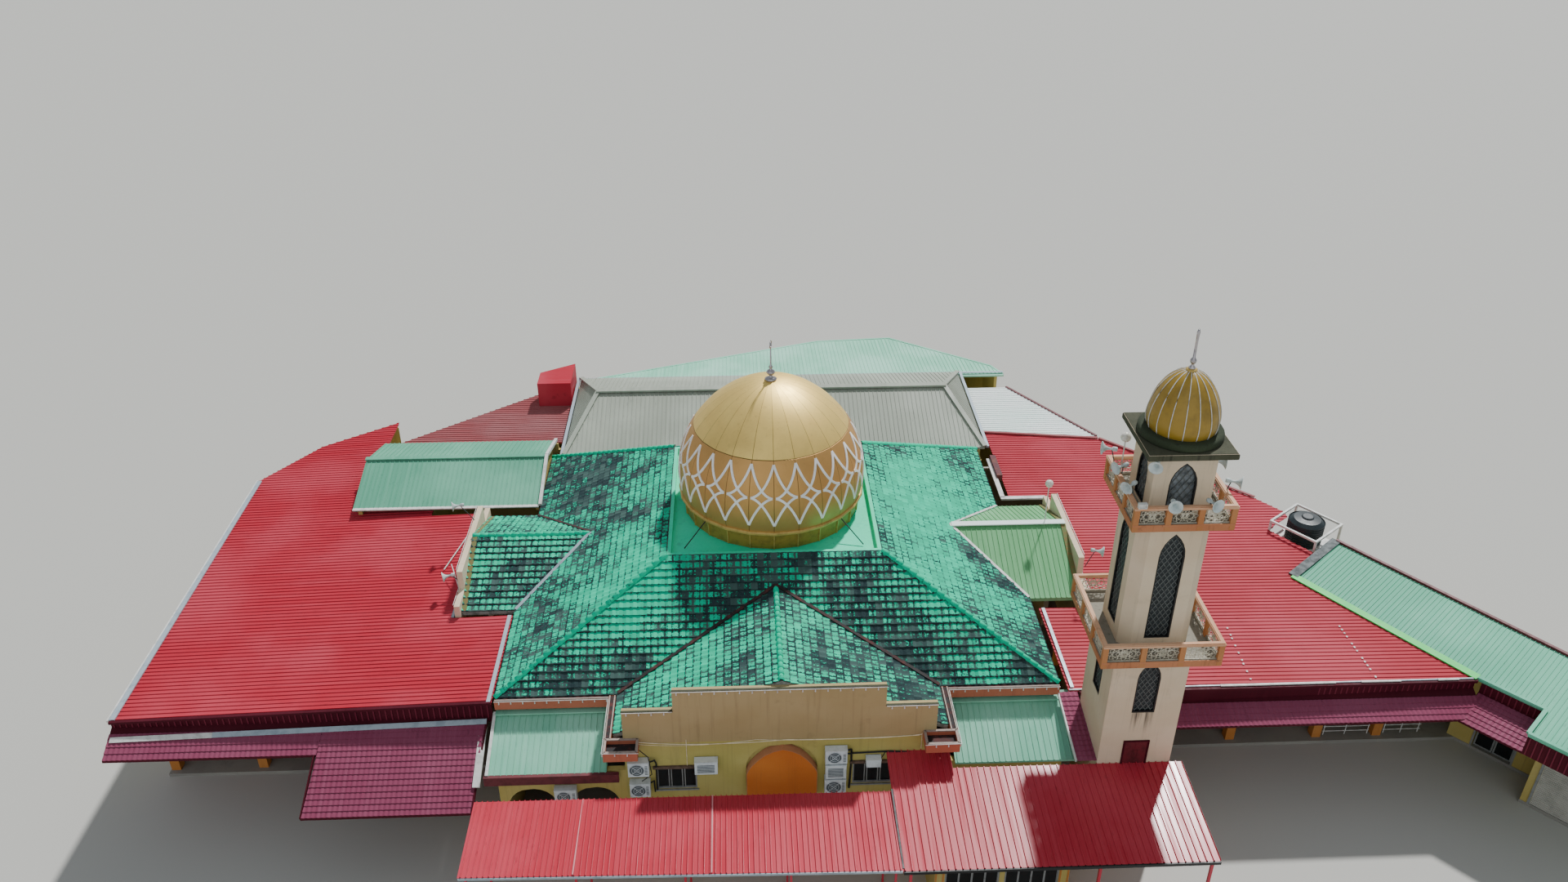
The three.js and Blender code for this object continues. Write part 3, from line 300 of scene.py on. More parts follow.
renders = {
    # Matt brushed render: name, clean, worn, stain, streaks; roughness, damp, paints below a height, dirt under
    # an opening
    "turquoise": ("turquoisePaint", "#2ae8b4", "#46f2c4", "#3d947c", 0.3, 0.7, 0.6),
    "tan": ("tanRender", "#ad9a6b", "#b5a376", "#84724c", 0.45),
    "yellow": ("yellowRender", "#b7a55b", "#c2b26c", "#8a7c45", 0.4),
    "cream": ("creamRender", "#d9c4a6", "#e2d0b5", "#a08f78", 0.35, 0.8, 0.35),
    "orange": ("orangePaint", "#b9742f", "#c68443", "#6e4a26", 0.5, 0.7, 0.5),
    "archOrange": ("archOrangePaint", "#c86a20", "#d0772c", "#8a4a1a", 0.25, 0.75, 0.2),
    "salmon": ("salmonPaint", "#b5654a", "#be7356", "#7c4535", 0.3, 0.75, 0.35),
    "concrete": ("floorConcrete", "#8c8a83", "#9a988f", "#5f5d57", 0.2),
    "mossy": ("mossyCement", "#3c3e2b", "#4c4d3b", "#1b1d16", 0.7, 0.9, 0.9),
    "darkMoss": ("darkMossRing", "#26301d", "#323c26", "#151b10", 0.6, 0.9, 0.8),
    "portico": ("porticoRender", "#ad9a6b", "#b5a376", "#84724c", 0.4, 0.85, 0.5,
                (5.75, "#b5a95c", "#c0b46c")),
    "tower": ("towerCreamRender", "#d9c4a6", "#e2d0b5", "#a08f78", 0.35, 0.8, 0.35, None,
              (13.3, 14.12, 6.35, 7.46)),
    "coping": ("palePinkCoping", "#a08f86", "#ad9c92", "#4d4640", 0.7, 0.8, 1.0),
    "archBand": ("archBorderPaint", "#b87a55", "#c28761", "#86573c", 0.3, 0.75, 0.3),
    "railPaint": ("paleOrangeRail", "#cc956e", "#dcb08c", "#8a6444", 0.3, 0.7, 0.35),
    "postPaint": ("saltyOrangePost", "#b5733f", "#bf8350", "#6b452c", 0.4, 0.7, 0.5),
    "deckCement": ("dampDeckCement", "#8b877a", "#9d998b", "#47443b", 0.6, 0.9, 0.9),
    "mouldyOrange": ("mouldyOrangePaint", "#b8744a", "#c2835a", "#241e18", 0.7, 0.8, 1.0),
}
smallParts = {
    # Small dusty parts: name, colour, roughness, metal, dust; size of its patches
    "white": ("whitePaint", "#dcdcd8", 0.5, 0.0, "#bdbdb8"),
    "galvanised": ("galvanisedSteel", "#aebbc4", 0.4, 0.2, "#95a3ad", 0.5),
    "casing": ("coolerCasing", "#dfe6e9", 0.45, 0.0, "#c9d0d3"),
    "darkMesh": ("darkGrille", "#22282b", 0.6, 0.0, "#3b4346", 0.1),
    "glass": ("tintedGlass", "#0d1113", 0.12, 0.0, "#151b1e", 2.0),
    "horn": ("hornPlastic", "#cdd8d7", 0.5, 0.0, "#b3bfbe"),
    "black": ("blackPlastic", "#131415", 0.5, 0.0, "#1f2122"),
    "tank": ("darkTankPlastic", "#1f2a2e", 0.45, 0.0, "#2b373b", 0.6),
    "steel": ("polishedSteel", "#b9b4b6", 0.25, 0.9, "#9d989a"),
    "lattice": ("paleLatticePaint", "#ffffff", 0.5, 0.0, "#eeecec", 0.5),
    "ringGold": ("paleGoldRing", "#c9ab5e", 0.4, 0.3, "#a98e4a"),
    # the olive tone of this gold is a painted reflection of the turquoise platform below
    "skirtGold": ("oliveGoldSkirt", "#a58a3a", 0.45, 0.2, "#8a7533"),
    "mossStrip": ("orangeGreenMoss", "#6f7a4c", 0.95, 0.0, "#8d6b45", 0.12),
    "mustard": ("mustardPaint", "#a3832a", 0.4, 0.0, "#8a6f26", 0.8),
    "brightGreen": ("brightGreenFlashing", "#14d350", 0.5, 0.0, "#2ddb68"),
    "darkGrey": ("darkGreyFlashing", "#3c4a4c", 0.6, 0.0, "#2c3638"),
    "darkRed": ("darkRedTrim", "#6a2029", 0.5, 0.0, "#55181f"),
    "rustyBlack": ("rustyValleySheet", "#1f1b1c", 0.8, 0.0, "#5a2f2c", 0.35),
    "rust": ("rustyMaroon", "#5d3138", 0.8, 0.0, "#7d5248", 0.25),
    "fanGrey": ("greyFanGuard", "#545d63", 0.5, 0.2, "#6d767b", 0.05),
    "windowFrame": ("greyWindowFrame", "#9a9d9c", 0.45, 0.3, "#808483"),
    "timber": ("weatheredTimber", "#6b5648", 0.85, 0.0, "#4c3d33", 0.2),
    "cableTan": ("dustyCable", "#efe2c0", 0.7, 0.0, "#cfc19d"),
    "grille": ("creamGrillePaint", "#cfcab6", 0.6, 0.0, "#a49e8a", 0.15),
    "latticeGrey": ("greyArchLattice", "#6b706e", 0.6, 0.0, "#4c504f", 0.2),
    "kioskGlass": ("greyPanel", "#7d858a", 0.25, 0.0, "#3c4347", 0.45),
    "opal": ("opalGlobe", "#e6e4da", 0.2, 0.0, "#cfcbbb", 0.1),
    "shutter": ("paintedShutter", "#b9b8ae", 0.5, 0.2, "#9d9c92", 0.8),
    "grout": ("oldMortar", "#8f938d", 0.9, 0.0, "#5f6660", 0.2),
}
finish = {key: make(*values) for make, table in ((prePaintedSheet, sheetPaints), (paintedRender, renders),
                                                 (plainFinish, smallParts)) for key, values in table.items()}
finish["roofTile"] = mouldyTile("mouldyPaintedTile", "#02d6a6", "#02b98e", "#27363a", "#4a625e")
# the pale gold above the seam at 13.27 m is a painted highlight of the sunlit top
finish["domeGold"] = sectionShell("goldDomeSheet", "#d6a665", "#ffde84", 13.27)
print("finishes are ready")


# Mesh helpers

def addPiece(name, points, faces, material, body="building", slot=None, smooth=False, uvs=None, faceValues=None):
    # points in real metres; faces as rows of four point numbers, the last one -1 in a triangle;
    # uvs hold a pair for every corner of those rows
    faces = np.asarray(faces, dtype=np.int32)
    real = faces >= 0
    corners, counts = faces[real], real.sum(axis=1)
    mesh = bpy.data.meshes.new(name)
    points = np.asarray(points, dtype=np.float64) * toModel
    mesh.vertices.add(len(points))
    mesh.vertices.foreach_set("co", points.ravel())
    mesh.loops.add(len(corners))
    mesh.loops.foreach_set("vertex_index", corners)
    mesh.polygons.add(len(counts))
    mesh.polygons.foreach_set("loop_start", (np.cumsum(counts) - counts).astype(np.int32))
    mesh.polygons.foreach_set("use_smooth", np.full(len(counts), smooth))
    mesh.update(calc_edges=True)
    if uvs is not None:
        mesh.uv_layers.new(name="flat").data.foreach_set("uv", uvs[real].astype(np.float32).ravel())
    for key, values in (faceValues or {}).items():
        mesh.attributes.new(key, "FLOAT", "FACE").data.foreach_set("value", np.asarray(values, dtype=np.float32))
    mesh.materials.append(finish[material])
    piece = bpy.data.objects.new(name, mesh)
    bpy.context.scene.collection.objects.link(piece)
    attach(piece, body)
    return piece


def gather(parts):
    # Joins (points, faces) pairs into one
    points, faces, start = [], [], 0
    for p, f in parts:
        points.append(np.asarray(p, dtype=float))
        faces.append(np.where(np.asarray(f) < 0, -1, np.asarray(f) + start))
        start += len(p)
    return np.concatenate(points), np.concatenate(faces)


def addParts(name, parts, material, **more):
    points, faces = gather(parts)
    return addPiece(name, points, faces, material, **more)


def gridFaces(rows, columns, wrap=False, closed=False):
    # Quads of a grid of points stored row by row; wrap closes each row into a ring, closed joins the last row
    # to the first
    row, column = np.meshgrid(np.arange(rows if closed else rows - 1), np.arange(columns if wrap else columns - 1),
                              indexing="ij")
    after, right = (row + 1) % rows * columns, (column + 1) % columns
    row = row * columns
    return np.stack([row + column, row + right, after + right, after + column], axis=-1).reshape(-1, 4)


def ringed(rows, startPole, endPole):
    # Rings of points, anticlockwise about their direction, closed to a pole at each end
    sides = rows.shape[1]
    points = np.concatenate([[startPole], rows.reshape(-1, 3), [endPole]])
    k = np.arange(sides)
    after, none, last = (k + 1) % sides, np.full(sides, -1), 1 + (len(rows) - 1) * sides
    low = np.stack([0 * k, 1 + after, 1 + k, none], axis=1)
    high = np.stack([last + k, last + after, 0 * k + len(points) - 1, none], axis=1)
    return points, np.concatenate([low, gridFaces(len(rows), sides, True) + 1, high])


def unit(vectors):
    # The same directions with length 1
    return vectors / np.linalg.norm(vectors, axis=-1, keepdims=True)


def polar(radius, angle, z):
    # Places at a radius, an angle from X and a height
    return np.stack([radius * np.cos(angle), radius * np.sin(angle), z + 0 * radius * angle], axis=-1)


def block(x0, x1, y0, y1, z0, z1):
    # A box as eight corners and six quads facing out
    p = np.array([[x, y, z] for z in (z0, z1) for y in (y0, y1) for x in (x0, x1)], dtype=float)
    f = np.array([[0, 2, 3, 1], [4, 5, 7, 6], [0, 1, 5, 4], [2, 6, 7, 3], [0, 4, 6, 2], [1, 3, 7, 5]])
    return p, f


def beam(start, end, width, depth, up=(0, 0, 1)):
    # A square bar between two points; width is across, depth is along the up direction
    along = unit(np.subtract(end, start))
    side = unit(np.cross(along, up))
    top = np.cross(side, along)
    p = np.array([base + side * sx * width / 2 + top * sz * depth / 2
                  for base in (start, end) for sz in (-1, 1) for sx in (-1, 1)])
    return p, block(0, 1, 0, 1, 0, 1)[1][:, ::-1]


def panels(outline):
    # Cuts a closed outline in (across, along) into panels between its corners:
    # each is (a, b, low at a, low at b, high at a, high at b)
    edges = list(zip(outline, outline[1:] + outline[:1]))
    cuts = sorted({round(p[0], 4) for p in outline})
    found = []
    for a, b in zip(cuts[:-1], cuts[1:]):
        middle, rows = (a + b) / 2, []
        for p, q in edges:
            if (p[0] - middle) * (q[0] - middle) < 0:
                slope = (q[1] - p[1]) / (q[0] - p[0])
                rows.append([p[1] + slope * (u - p[0]) for u in (middle, a, b)])
        rows.sort()
        found += [(a, b, *low[1:], *high[1:]) for low, high in zip(rows[::2], rows[1::2])]
    return found


def grown(outline, amount):
    # The outline moved outwards all round by an amount, with its corners kept sharp
    p = np.asarray(outline, float)
    back, ahead = np.roll(p, 1, axis=0), np.roll(p, -1, axis=0)
    sign = np.sign(np.sum(p[:, 0] * ahead[:, 1] - ahead[:, 0] * p[:, 1]))
    both = sum(sign * unit(np.stack([edge[:, 1], -edge[:, 0]], 1)) for edge in (p - back, ahead - p))
    return p + amount * both * (2 / np.maximum(np.sum(both * both, axis=1), 0.6))[:, None]


ribs = {
    "pitch": 0.24,                                       # real metres between ribs
    "profile": [(0.0, 0.0), (0.76, 0.0), (0.81, 0.034), (0.93, 0.034), (0.98, 0.0)],   # share of pitch, height
    "canopyShare": 1.7,                                  # the canopies' ribs are deeper
    "thickness": 0.02,
    "lift": 0.012,                                       # clear of the plate that carries it
}


def ribbedSheet(outline, height, turn, pitch=ribs["pitch"], tall=1.0):
    # Roofing sheet: height(x, y) plus the rib profile, which repeats across the ribs.
    # outline is in plan; turn is the angle of the ribs from X.
    along = np.array([math.cos(turn), math.sin(turn)])
    across = np.array([-along[1], along[0]])
    flat = [(float(np.dot(p, across)), float(np.dot(p, along))) for p in grown(outline, 0.02)]
    share = np.array([s for s, h in ribs["profile"]] + [1.0])
    rise = np.array([h for s, h in ribs["profile"]] + [ribs["profile"][0][1]]) * tall
    parts = []
    for a, b, low0, low1, high0, high1 in panels(flat):
        first, last = math.floor(a / pitch), math.ceil(b / pitch)
        u = ((np.arange(first, last)[:, None] + share[None, :-1]) * pitch).ravel()
        u = np.concatenate([[a], u[(u > a + 1e-4) & (u < b - 1e-4)], [b]])
        t = (u - a) / (b - a)
        rib = np.interp((u / pitch) % 1.0, share, rise)
        ends = [low0 + (low1 - low0) * t, high0 + (high1 - high0) * t]
        top = []
        for v in ends:
            x, y = u * across[0] + v * along[0], u * across[1] + v * along[1]
            top.append(np.stack([x, y, height(x, y) + rib + ribs["lift"]], axis=1))
        under = [p - np.array([0, 0, ribs["thickness"]]) for p in top]
        ring = np.concatenate([top[0], top[1], under[1], under[0]])
        faces = gridFaces(4, len(u))
        j = np.arange(len(u) - 1)
        close = np.stack([3 * len(u) + j, 3 * len(u) + j + 1, j + 1, j], axis=1)
        sides = np.array([[0, len(u), 2 * len(u), 3 * len(u)],
                          [4 * len(u) - 1, 3 * len(u) - 1, 2 * len(u) - 1, len(u) - 1]])
        faces = np.concatenate([faces, close, sides])
        parts.append((ring, faces[:, ::-1]))
    return gather(parts)


tiles = {
    "width": 0.29,                         # real metres
    "row": 0.33,                           # up the slope
    "step": 0.055,                         # front edge of a course over the one below
    "wave": 0.03,
}


def tiledSlope(corners, width, row, step, wave, segments=4, lift=0.006):
    # One tiled slope: courses rise towards their lower edge, with a rounded roll across each tile.
    # corners: eave start, eave end, top end, top start, in space. Returns points, quads, for each quad its
    # course, column and how dark it is painted (most as painted shade on the front edge of each course, some
    # as dirt in the joints), and for each point its place in tiles across and up
    eave0, eave1, top1, top0 = (np.asarray(c, float) for c in corners)
    run = unit(eave1 - eave0)
    normal = unit(np.cross(run, top0 - eave0))
    normal *= np.sign(normal[2])
    up = np.cross(normal, run)
    up *= np.sign(up[2])
    flat = [((c - eave0) @ run, (c - eave0) @ up) for c in (eave0, eave1, top1, top0)]
    length = max(flat[2][1], flat[3][1])
    courses = max(1, round(length / row))
    edges = np.linspace(0, length, courses + 1)
    leftAt = lambda v: flat[0][0] + (flat[3][0] - flat[0][0]) * v / flat[3][1]
    rightAt = lambda v: flat[1][0] + (flat[2][0] - flat[1][0]) * v / flat[2][1]
    shape = wave * 0.5 * (1 + np.cos(2 * math.pi * np.arange(segments) / segments))
    parts, marks, flats = [], [], []
    for course in range(courses):
        v0, v1 = edges[course], edges[course + 1]
        left, right = min(leftAt(v0), leftAt(v1)), max(rightAt(v0), rightAt(v1))
        k = np.arange(math.floor(left / width) * segments, math.ceil(right / width) * segments + 1)
        u = k * width / segments
        roll = shape[k % segments]
        held = [np.clip(u, leftAt(v), rightAt(v)) for v in (v0, v0, v1)]
        rows = [eave0 + at[:, None] * run + v * up + (roll + extra + lift)[:, None] * normal
                for at, v, extra in zip(held, (v0, v0, v1), (0.0, step, 0.0))]
        low, high = (np.diff(held[row]) > 1e-4 for row in (0, 2))
        faces = gridFaces(3, len(u))
        keep = np.concatenate([low, low | high])
        column = np.tile(np.floor(k[:-1] / segments), 2)
        # the riser at each course's front edge gets painted shade (0.9); the trough between tiles gets dirt (0.24)
        dirt = np.repeat([0.9, 0.0], len(k) - 1) + 0.24 * (np.tile(k[:-1] % segments, 2) == 2)
        parts.append((np.concatenate(rows), faces[keep]))
        marks.append(np.stack([np.full(len(faces), course), column, dirt], axis=1)[keep])
        flats.append(np.stack([np.tile(u / width, 3), np.repeat([course, course, course + 1], len(u))], axis=1))
    points, faces = gather(parts)
    a, b, d = points[faces[:, 0]], points[faces[:, 1]], points[faces[:, 3]]
    if np.einsum("ij,j->i", np.cross(b - a, d - a), normal).sum() < 0:
        faces = faces[:, ::-1]
    return points, faces, np.concatenate(marks), np.concatenate(flats)


def strip(path, width, depth, up=(0, 0, 1)):
    # A flat bar that follows a line of points
    return gather([beam(a, b, width, depth, up) for a, b in zip(path[:-1], path[1:])])


def revolved(profile, sides, start=0.0):
    # A closed outline of radius and height pairs turned about the vertical axis
    profile = np.asarray(profile, float)
    angle = start + 2 * math.pi * np.arange(sides) / sides
    return polar(profile[:, :1], angle, profile[:, 1:]).reshape(-1, 3), gridFaces(len(profile), sides, True, True)


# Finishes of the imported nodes

nodeFinish = {                             # where a node's finish differs from its slot's
    "main_roof": "grout", "front_gable_roof": "grout", "left_gable_roof": "grout",
    "right_gable_roof": "greenAcross", "rear_lean_to_roof": "greenRear", "right_rear_roof": "greenAlongX",
    "left_gabled_roof": "greenGabled", "annex_roof": "greenAnnex",
    "minaret_dome": "mustard", "dome_finial": "steel", "lower_balcony": "deckCement", "upper_balcony": "deckCement",
    "front_left_gutter": "salmon", "front_right_gutter": "salmon",
    "left_canopy": "redCanopy", "right_canopy": "redCanopy", "left_wing_front": "maroonBand",
    "right_wing_front": "maroonBand", "annex_front": "maroonBand", "portico_wall": "portico", "minaret_base": "tower",
}
slotFinish = {
    "tile": "roofTile", "turquoise": "turquoise", "gold": "domeGold", "steel": "galvanised",
    "red_sheet": "redAlongX", "maroon": "maroonSheet", "green_sheet": "greenAlongY", "beige_sheet": "beige",
    "yellow_render": "yellow", "tan_render": "tan", "cream_render": "cream", "orange_paint": "orange",
    "concrete": "concrete", "white_paint": "white", "door_glass": "glass",
}
for part in frame["record"]["subparts"]:
    node = frame["nodes"][part["node"]]
    node.data.materials.clear()
    node.data.materials.append(finish[nodeFinish.get(part["node"], slotFinish[part["material_slot"]])])
print("packed nodes have their finishes")


# Tiled roofs of the hall

hall = {"halfWidth": 11.5, "halfDepth": 9.55, "eave": 6.0, "deckHalf": 4.61, "deckTop": 9.367}
frontGable = {"half": 6.55, "ridge": 8.5, "front": -11.85, "back": -5.88}
sideGable = {"half": 3.8, "ridge": 7.5, "end": 13.9, "centre": -0.05, "back": 8.43}
stain = {
    # centre in plan, reach, and how much mould it takes away (negative) or adds, set from the photograph
    "patches": [(-5.5, -5.2, 2.2, -0.42), (-8.0, -7.2, 2.0, -0.2), (-4.7, -4.4, 1.4, -0.25), (6.0, 1.0, 2.4, -0.5),
                (6.5, -3.5, 2.0, -0.35), (9.5, -6.5, 1.8, -0.25), (-9.8, -9.0, 1.6, 0.3), (-8.6, 6.0, 3.0, 0.3),
                (-6.3, -9.0, 1.3, 0.3), (10.6, -8.6, 1.2, 0.2), (5.2, -10.2, 2.2, 0.12),
                (-12.0, -2.6, 1.6, 0.05), (-12.0, 1.6, 2.0, -0.25), (-12.4, -0.8, 1.2, -0.2), (2.6, -8.6, 2.0, -0.12),
                (-3.0, -9.0, 2.4, -0.3), (8.6, 5.0, 3.0, -0.3), (3.4, -6.2, 2.2, 0.12), (-1.8, -5.2, 1.8, 0.2),
                (-9.6, 3.4, 2.5, 0.2)],
    "usual": 0.44,
    "grain": 0.42,                         # how far single tiles differ
}


def smoothNoise(x, y, size, seed):
    # Value noise in plan: random heights on a square lattice, blended smoothly between its corners
    table = np.random.default_rng(seed).random((64, 64))
    u, v = x / size, y / size
    i, j = np.floor(u).astype(int), np.floor(v).astype(int)
    s, t = u - i, v - j
    s, t = s * s * (3 - 2 * s), t * t * (3 - 2 * t)
    at = lambda a, b: table[a % 64, b % 64]
    return (at(i, j) * (1 - s) + at(i + 1, j) * s) * (1 - t) + (at(i, j + 1) * (1 - s) + at(i + 1, j + 1) * s) * t


def tileStains(points, faces, marks, seed):
    # Mould and shade of every tile: one value a tile, from the patches, noise in plan and its own number
    tile = marks[:, 0] * 1000 + marks[:, 1] + 500
    centre = points[faces].mean(axis=1)
    names, member = np.unique(tile, return_inverse=True)
    count = np.bincount(member)
    x = np.bincount(member, centre[:, 0]) / count
    y = np.bincount(member, centre[:, 1]) / count
    level = np.full(len(names), stain["usual"])
    for px, py, reach, amount in stain["patches"]:
        level += amount * np.exp(-((x - px) ** 2 + (y - py) ** 2) / (reach * reach))
    level += 0.5 * (smoothNoise(x, y, 1.7, seed) - 0.5) + 0.4 * (smoothNoise(x, y, 0.6, seed + 1) - 0.5)
    own = np.random.default_rng(seed + 2).random((2, len(names)))
    level += stain["grain"] * (own[0] - 0.5)
    # the mould value of each quad also carries the painted shade on the course edges, from tiledSlope
    return {"mould": level[member] + marks[:, 2], "shade": own[1][member]}


def addTiledSlopes(name, slopes, seed, cut=None):
    # Several tiled slopes as one piece; cut drops the tiles that lie under another roof
    parts, marks, flats = [], [], []
    for number, corners in enumerate(slopes):
        p, f, m, flat = tiledSlope(corners, **tiles)
        if cut:
            keep = ~cut(p[f].mean(axis=1))
            f, m = f[keep], m[keep]
        parts.append((p, f))
        marks.append(m + np.array([number * 200, 0, 0]))
        flats.append(flat)
    points, faces = gather(parts)
    marks, flats = np.concatenate(marks), np.concatenate(flats)
    return addPiece(name, points, faces, "roofTile", slot="tile", uvs=flats[faces],
                    faceValues=tileStains(points, faces, marks, seed))


def corner(sx, sy, top=False):
    # A corner of the main roof at its eaves, or at its top under the dome
    if top:
        return sx * hall["deckHalf"], sy * hall["deckHalf"], hall["deckTop"]
    return sx * hall["halfWidth"], sy * hall["halfDepth"], hall["eave"]


def underGable(centre):
    # True where a point of the main roof lies under one of the three gables
    x, y, z = centre.T
    front = frontGable
    overFront = front["ridge"] - np.abs(x) * (front["ridge"] - hall["eave"]) / front["half"]
    side = sideGable
    overSide = side["ridge"] - np.abs(y - side["centre"]) * (side["ridge"] - hall["eave"]) / side["half"]
    return ((y < -4) & (overFront > z + 0.1)) | ((np.abs(x) > 6) & (overSide > z + 0.1))


around = [(-1, -1), (1, -1), (1, 1), (-1, 1)]
addTiledSlopes("hallTiles", [(corner(*a), corner(*b), corner(*b, True), corner(*a, True))
                             for a, b in zip(around, around[1:] + around[:1])], 11, underGable)
g = frontGable
addTiledSlopes("frontGableTiles", [
    ((side * g["half"], g["front"], hall["eave"]), (side * g["half"], -hall["halfDepth"], hall["eave"]),
     (0, g["back"], g["ridge"]), (0, g["front"], g["ridge"])) for side in (-1, 1)], 23)
g = sideGable
addTiledSlopes("leftGableTiles", [
    ((-g["end"], g["centre"] + side * g["half"], hall["eave"]),
     (-hall["halfWidth"], g["centre"] + side * g["half"], hall["eave"]),
     (-g["back"], g["centre"], g["ridge"]), (-g["end"], g["centre"], g["ridge"])) for side in (-1, 1)], 37)
print("tiled roofs are in")


# Ribbed sheet roofs

sheets = {
    # name: outline in plan, height and its fall (height, dx, dy, x0, y0), angle of the ribs, pitch, finish, slot
    "leftWingSheet": ([(-26.8, -9.75), (-11.62, -9.75), (-11.62, -4.15), (-14.3, -4.15), (-14.3, 4.3), (-17, 4.3),
        (-17, 5), (-20.95, 5), (-20.95, 14.4), (-24.6, 12), (-26.95, 8.6)],
        (5.95, 0.033, 0, -11.6, 0), 0, 0.24, "redAlongX", "red_sheet"),
    "rightWingSheet": ([(29.35, -9.37), (24.47, -2.02), (26.66, -0.33), (26.25, -0.09),
        (24.83, 1.93), (26.3, 3.05), (26.3, 3.5), (25.3, 4.8), (18.8, 11.15), (12.5, 11.95),
        (12.5, 5.1), (14.3, 5.1), (14.3, -4.15), (11.95, -4.15), (11.95, -9.62)],
        (5.62, -0.012, 0, 12, 0), 0, 0.24, "redAlongX", "red_sheet"),
    "leftCanopySheet": ([(-11.67, -13.96), (4.1, -14.03), (4.1, -17.66), (-11.67, -17.36)],
        (4.76, 0, 0.03, 0, -14), math.pi / 2, 0.2, "redCanopy", "red_sheet"),
    "rightCanopySheet": ([(4.17, -12.1), (6.6, -12.1), (6.6, -13.07), (15.6, -13.07), (15.6, -17.6), (4.17, -17.6)],
        (4.97, 0, 0.08, 0, -12.15), math.pi / 2, 0.26, "redCanopy", "red_sheet"),
    "leftLeanToSheet": ([(-11.55, -12.27), (-6.9, -12.27), (-6.9, -9.62), (-11.55, -9.62)],
        (4.42, 0, 0.332, 0, -12.27), math.pi / 2, 0.24, "greenAlongY", "green_sheet"),
    "rightLeanToSheet": ([(6.9, -12.27), (11.6, -12.27), (11.6, -9.62), (6.9, -9.62)],
        (4.42, 0, 0.332, 0, -12.27), math.pi / 2, 0.24, "greenAlongY", "green_sheet"),
    "rearLeanToSheet": ([(-10.9, 18.95), (14.85, 18.95), (14.4, 20.4), (8.7, 26.15), (3.85, 25.75)],
        (5.84, 0, -0.12, 0, 19), math.pi / 2, 0.24, "greenRear", "green_sheet"),
    "rightRearSheet": ([(12.35, 12.15), (18.7, 11.35), (14.8, 17.6), (12.35, 17.6)],
        (5.56, 0, 0, 0, 0), 0, 0.24, "greenAlongX", "green_sheet"),
    "leftRearSheet": ([(-20.3, 12.3), (-11.2, 12.1), (-11.2, 19.3), (-13.4, 17.9)],
        (5.5, 0, 0, 0, 0), 0, 0.24, "redOldAlongX", "red_sheet"),
}


def addSheet(name, outline, plane, turn, pitch, material, slot):
    level, dx, dy, x0, y0 = plane
    tall = ribs["canopyShare"] if material == "redCanopy" else 1.0
    addParts(name, [ribbedSheet(outline, lambda x, y: level + dx * (x - x0) + dy * (y - y0), turn, pitch, tall)],
             material, slot=slot)


for name, values in sheets.items():
    addSheet(name, *values)

annex = {"place": (30.2, -6.4), "turn": math.radians(-50), "level": 5.42, "rise": 0.06, "front": -2.52,
         "outline": [(-7.03, -1.55), (1.73, -2.52), (4.38, -2.52), (4.38, -4.35), (9.6, -4.35), (9.6, 1.0),
                     (-6.89, 2.4)]}


def annexPoint(x, y):
    # A place in the annex's own directions, brought to the building's
    c, s = math.cos(annex["turn"]), math.sin(annex["turn"])
    return annex["place"][0] + c * x - s * y, annex["place"][1] + s * x + c * y


def annexTop(inward):
    return annex["level"] + annex["rise"] * (inward - annex["front"])


def annexHeight(x, y):
    c, s = math.cos(annex["turn"]), math.sin(annex["turn"])
    return annexTop(-s * (x - annex["place"][0]) + c * (y - annex["place"][1]))


addParts("annexSheet", [ribbedSheet([annexPoint(*p) for p in annex["outline"]], annexHeight,
                                    annex["turn"] + math.pi / 2, 0.2)], "greenAnnex", slot="green_sheet")


def pitchedSheet(name, slopes, material, slot):
    # Ribbed sheet on sloping faces: each is an outline in plan, a plane through three points and the rib angle
    parts = []
    for outline, (p, q, r), turn in slopes:
        n = np.cross(np.subtract(q, p), np.subtract(r, p))
        parts.append(ribbedSheet(outline, lambda x, y: p[2] - (n[0] * (x - p[0]) + n[1] * (y - p[1])) / n[2], turn))
    addParts(name, parts, material, slot=slot)


g = sideGable
pitchedSheet("rightGableSheet", [
    ([(hall["halfWidth"], edge), (g["end"], edge), (g["end"], g["centre"]), (g["back"], g["centre"])],
     ((g["end"], edge, hall["eave"]), (g["end"], g["centre"], g["ridge"]), (g["back"], g["centre"], g["ridge"])),
     math.pi / 2) for edge in (g["centre"] - g["half"], g["centre"] + g["half"])], "greenAcross", "green_sheet")

rear = {"left": -10.95, "right": 12.05, "front": 9.75, "back": 18.95, "eave": 6.0, "ridgeLeft": -9.4,
        "ridgeRight": 10.4, "middle": 14.35, "ridge": 7.45}
q = rear
ends = {(a, b): (q[a], q[b], q["eave"]) for a in ("left", "right") for b in ("front", "back")}
tops = {"left": (q["ridgeLeft"], q["middle"], q["ridge"]), "right": (q["ridgeRight"], q["middle"], q["ridge"])}
pitchedSheet("rearHallSheet", [
    ([p[:2] for p in (ends["left", side], ends["right", side], tops["right"], tops["left"])],
     (ends["left", side], ends["right", side], tops["left"]), math.pi / 2) for side in ("front", "back")] + [
    ([p[:2] for p in (ends[side, "front"], ends[side, "back"], tops[side])],
     (ends[side, "front"], ends[side, "back"], tops[side]), 0) for side in ("left", "right")],
    "beige", "beige_sheet")

pitchedSheet("leftGabledSheet", [
    ([(-20.9, edge), (-11.62, edge), (-11.62, 8.0), (-20.9, 8.0)],
     ((-20.9, edge, 6.05), (-11.62, edge, 6.05), (-11.62, 8.0, 7.0)), math.pi / 2) for edge in (4.65, 11.3)],
    "greenGabled", "green_sheet")
print("ribbed roofs are in")


# Dome

dome = {"radius": 4.2, "centre": 10.9, "ring": 9.97, "top": 15.35, "tip": 0.25, "gores": 24, "across": 8,
        "flat": 0.45}                      # flat: how far a gore draws to the chord between its seams


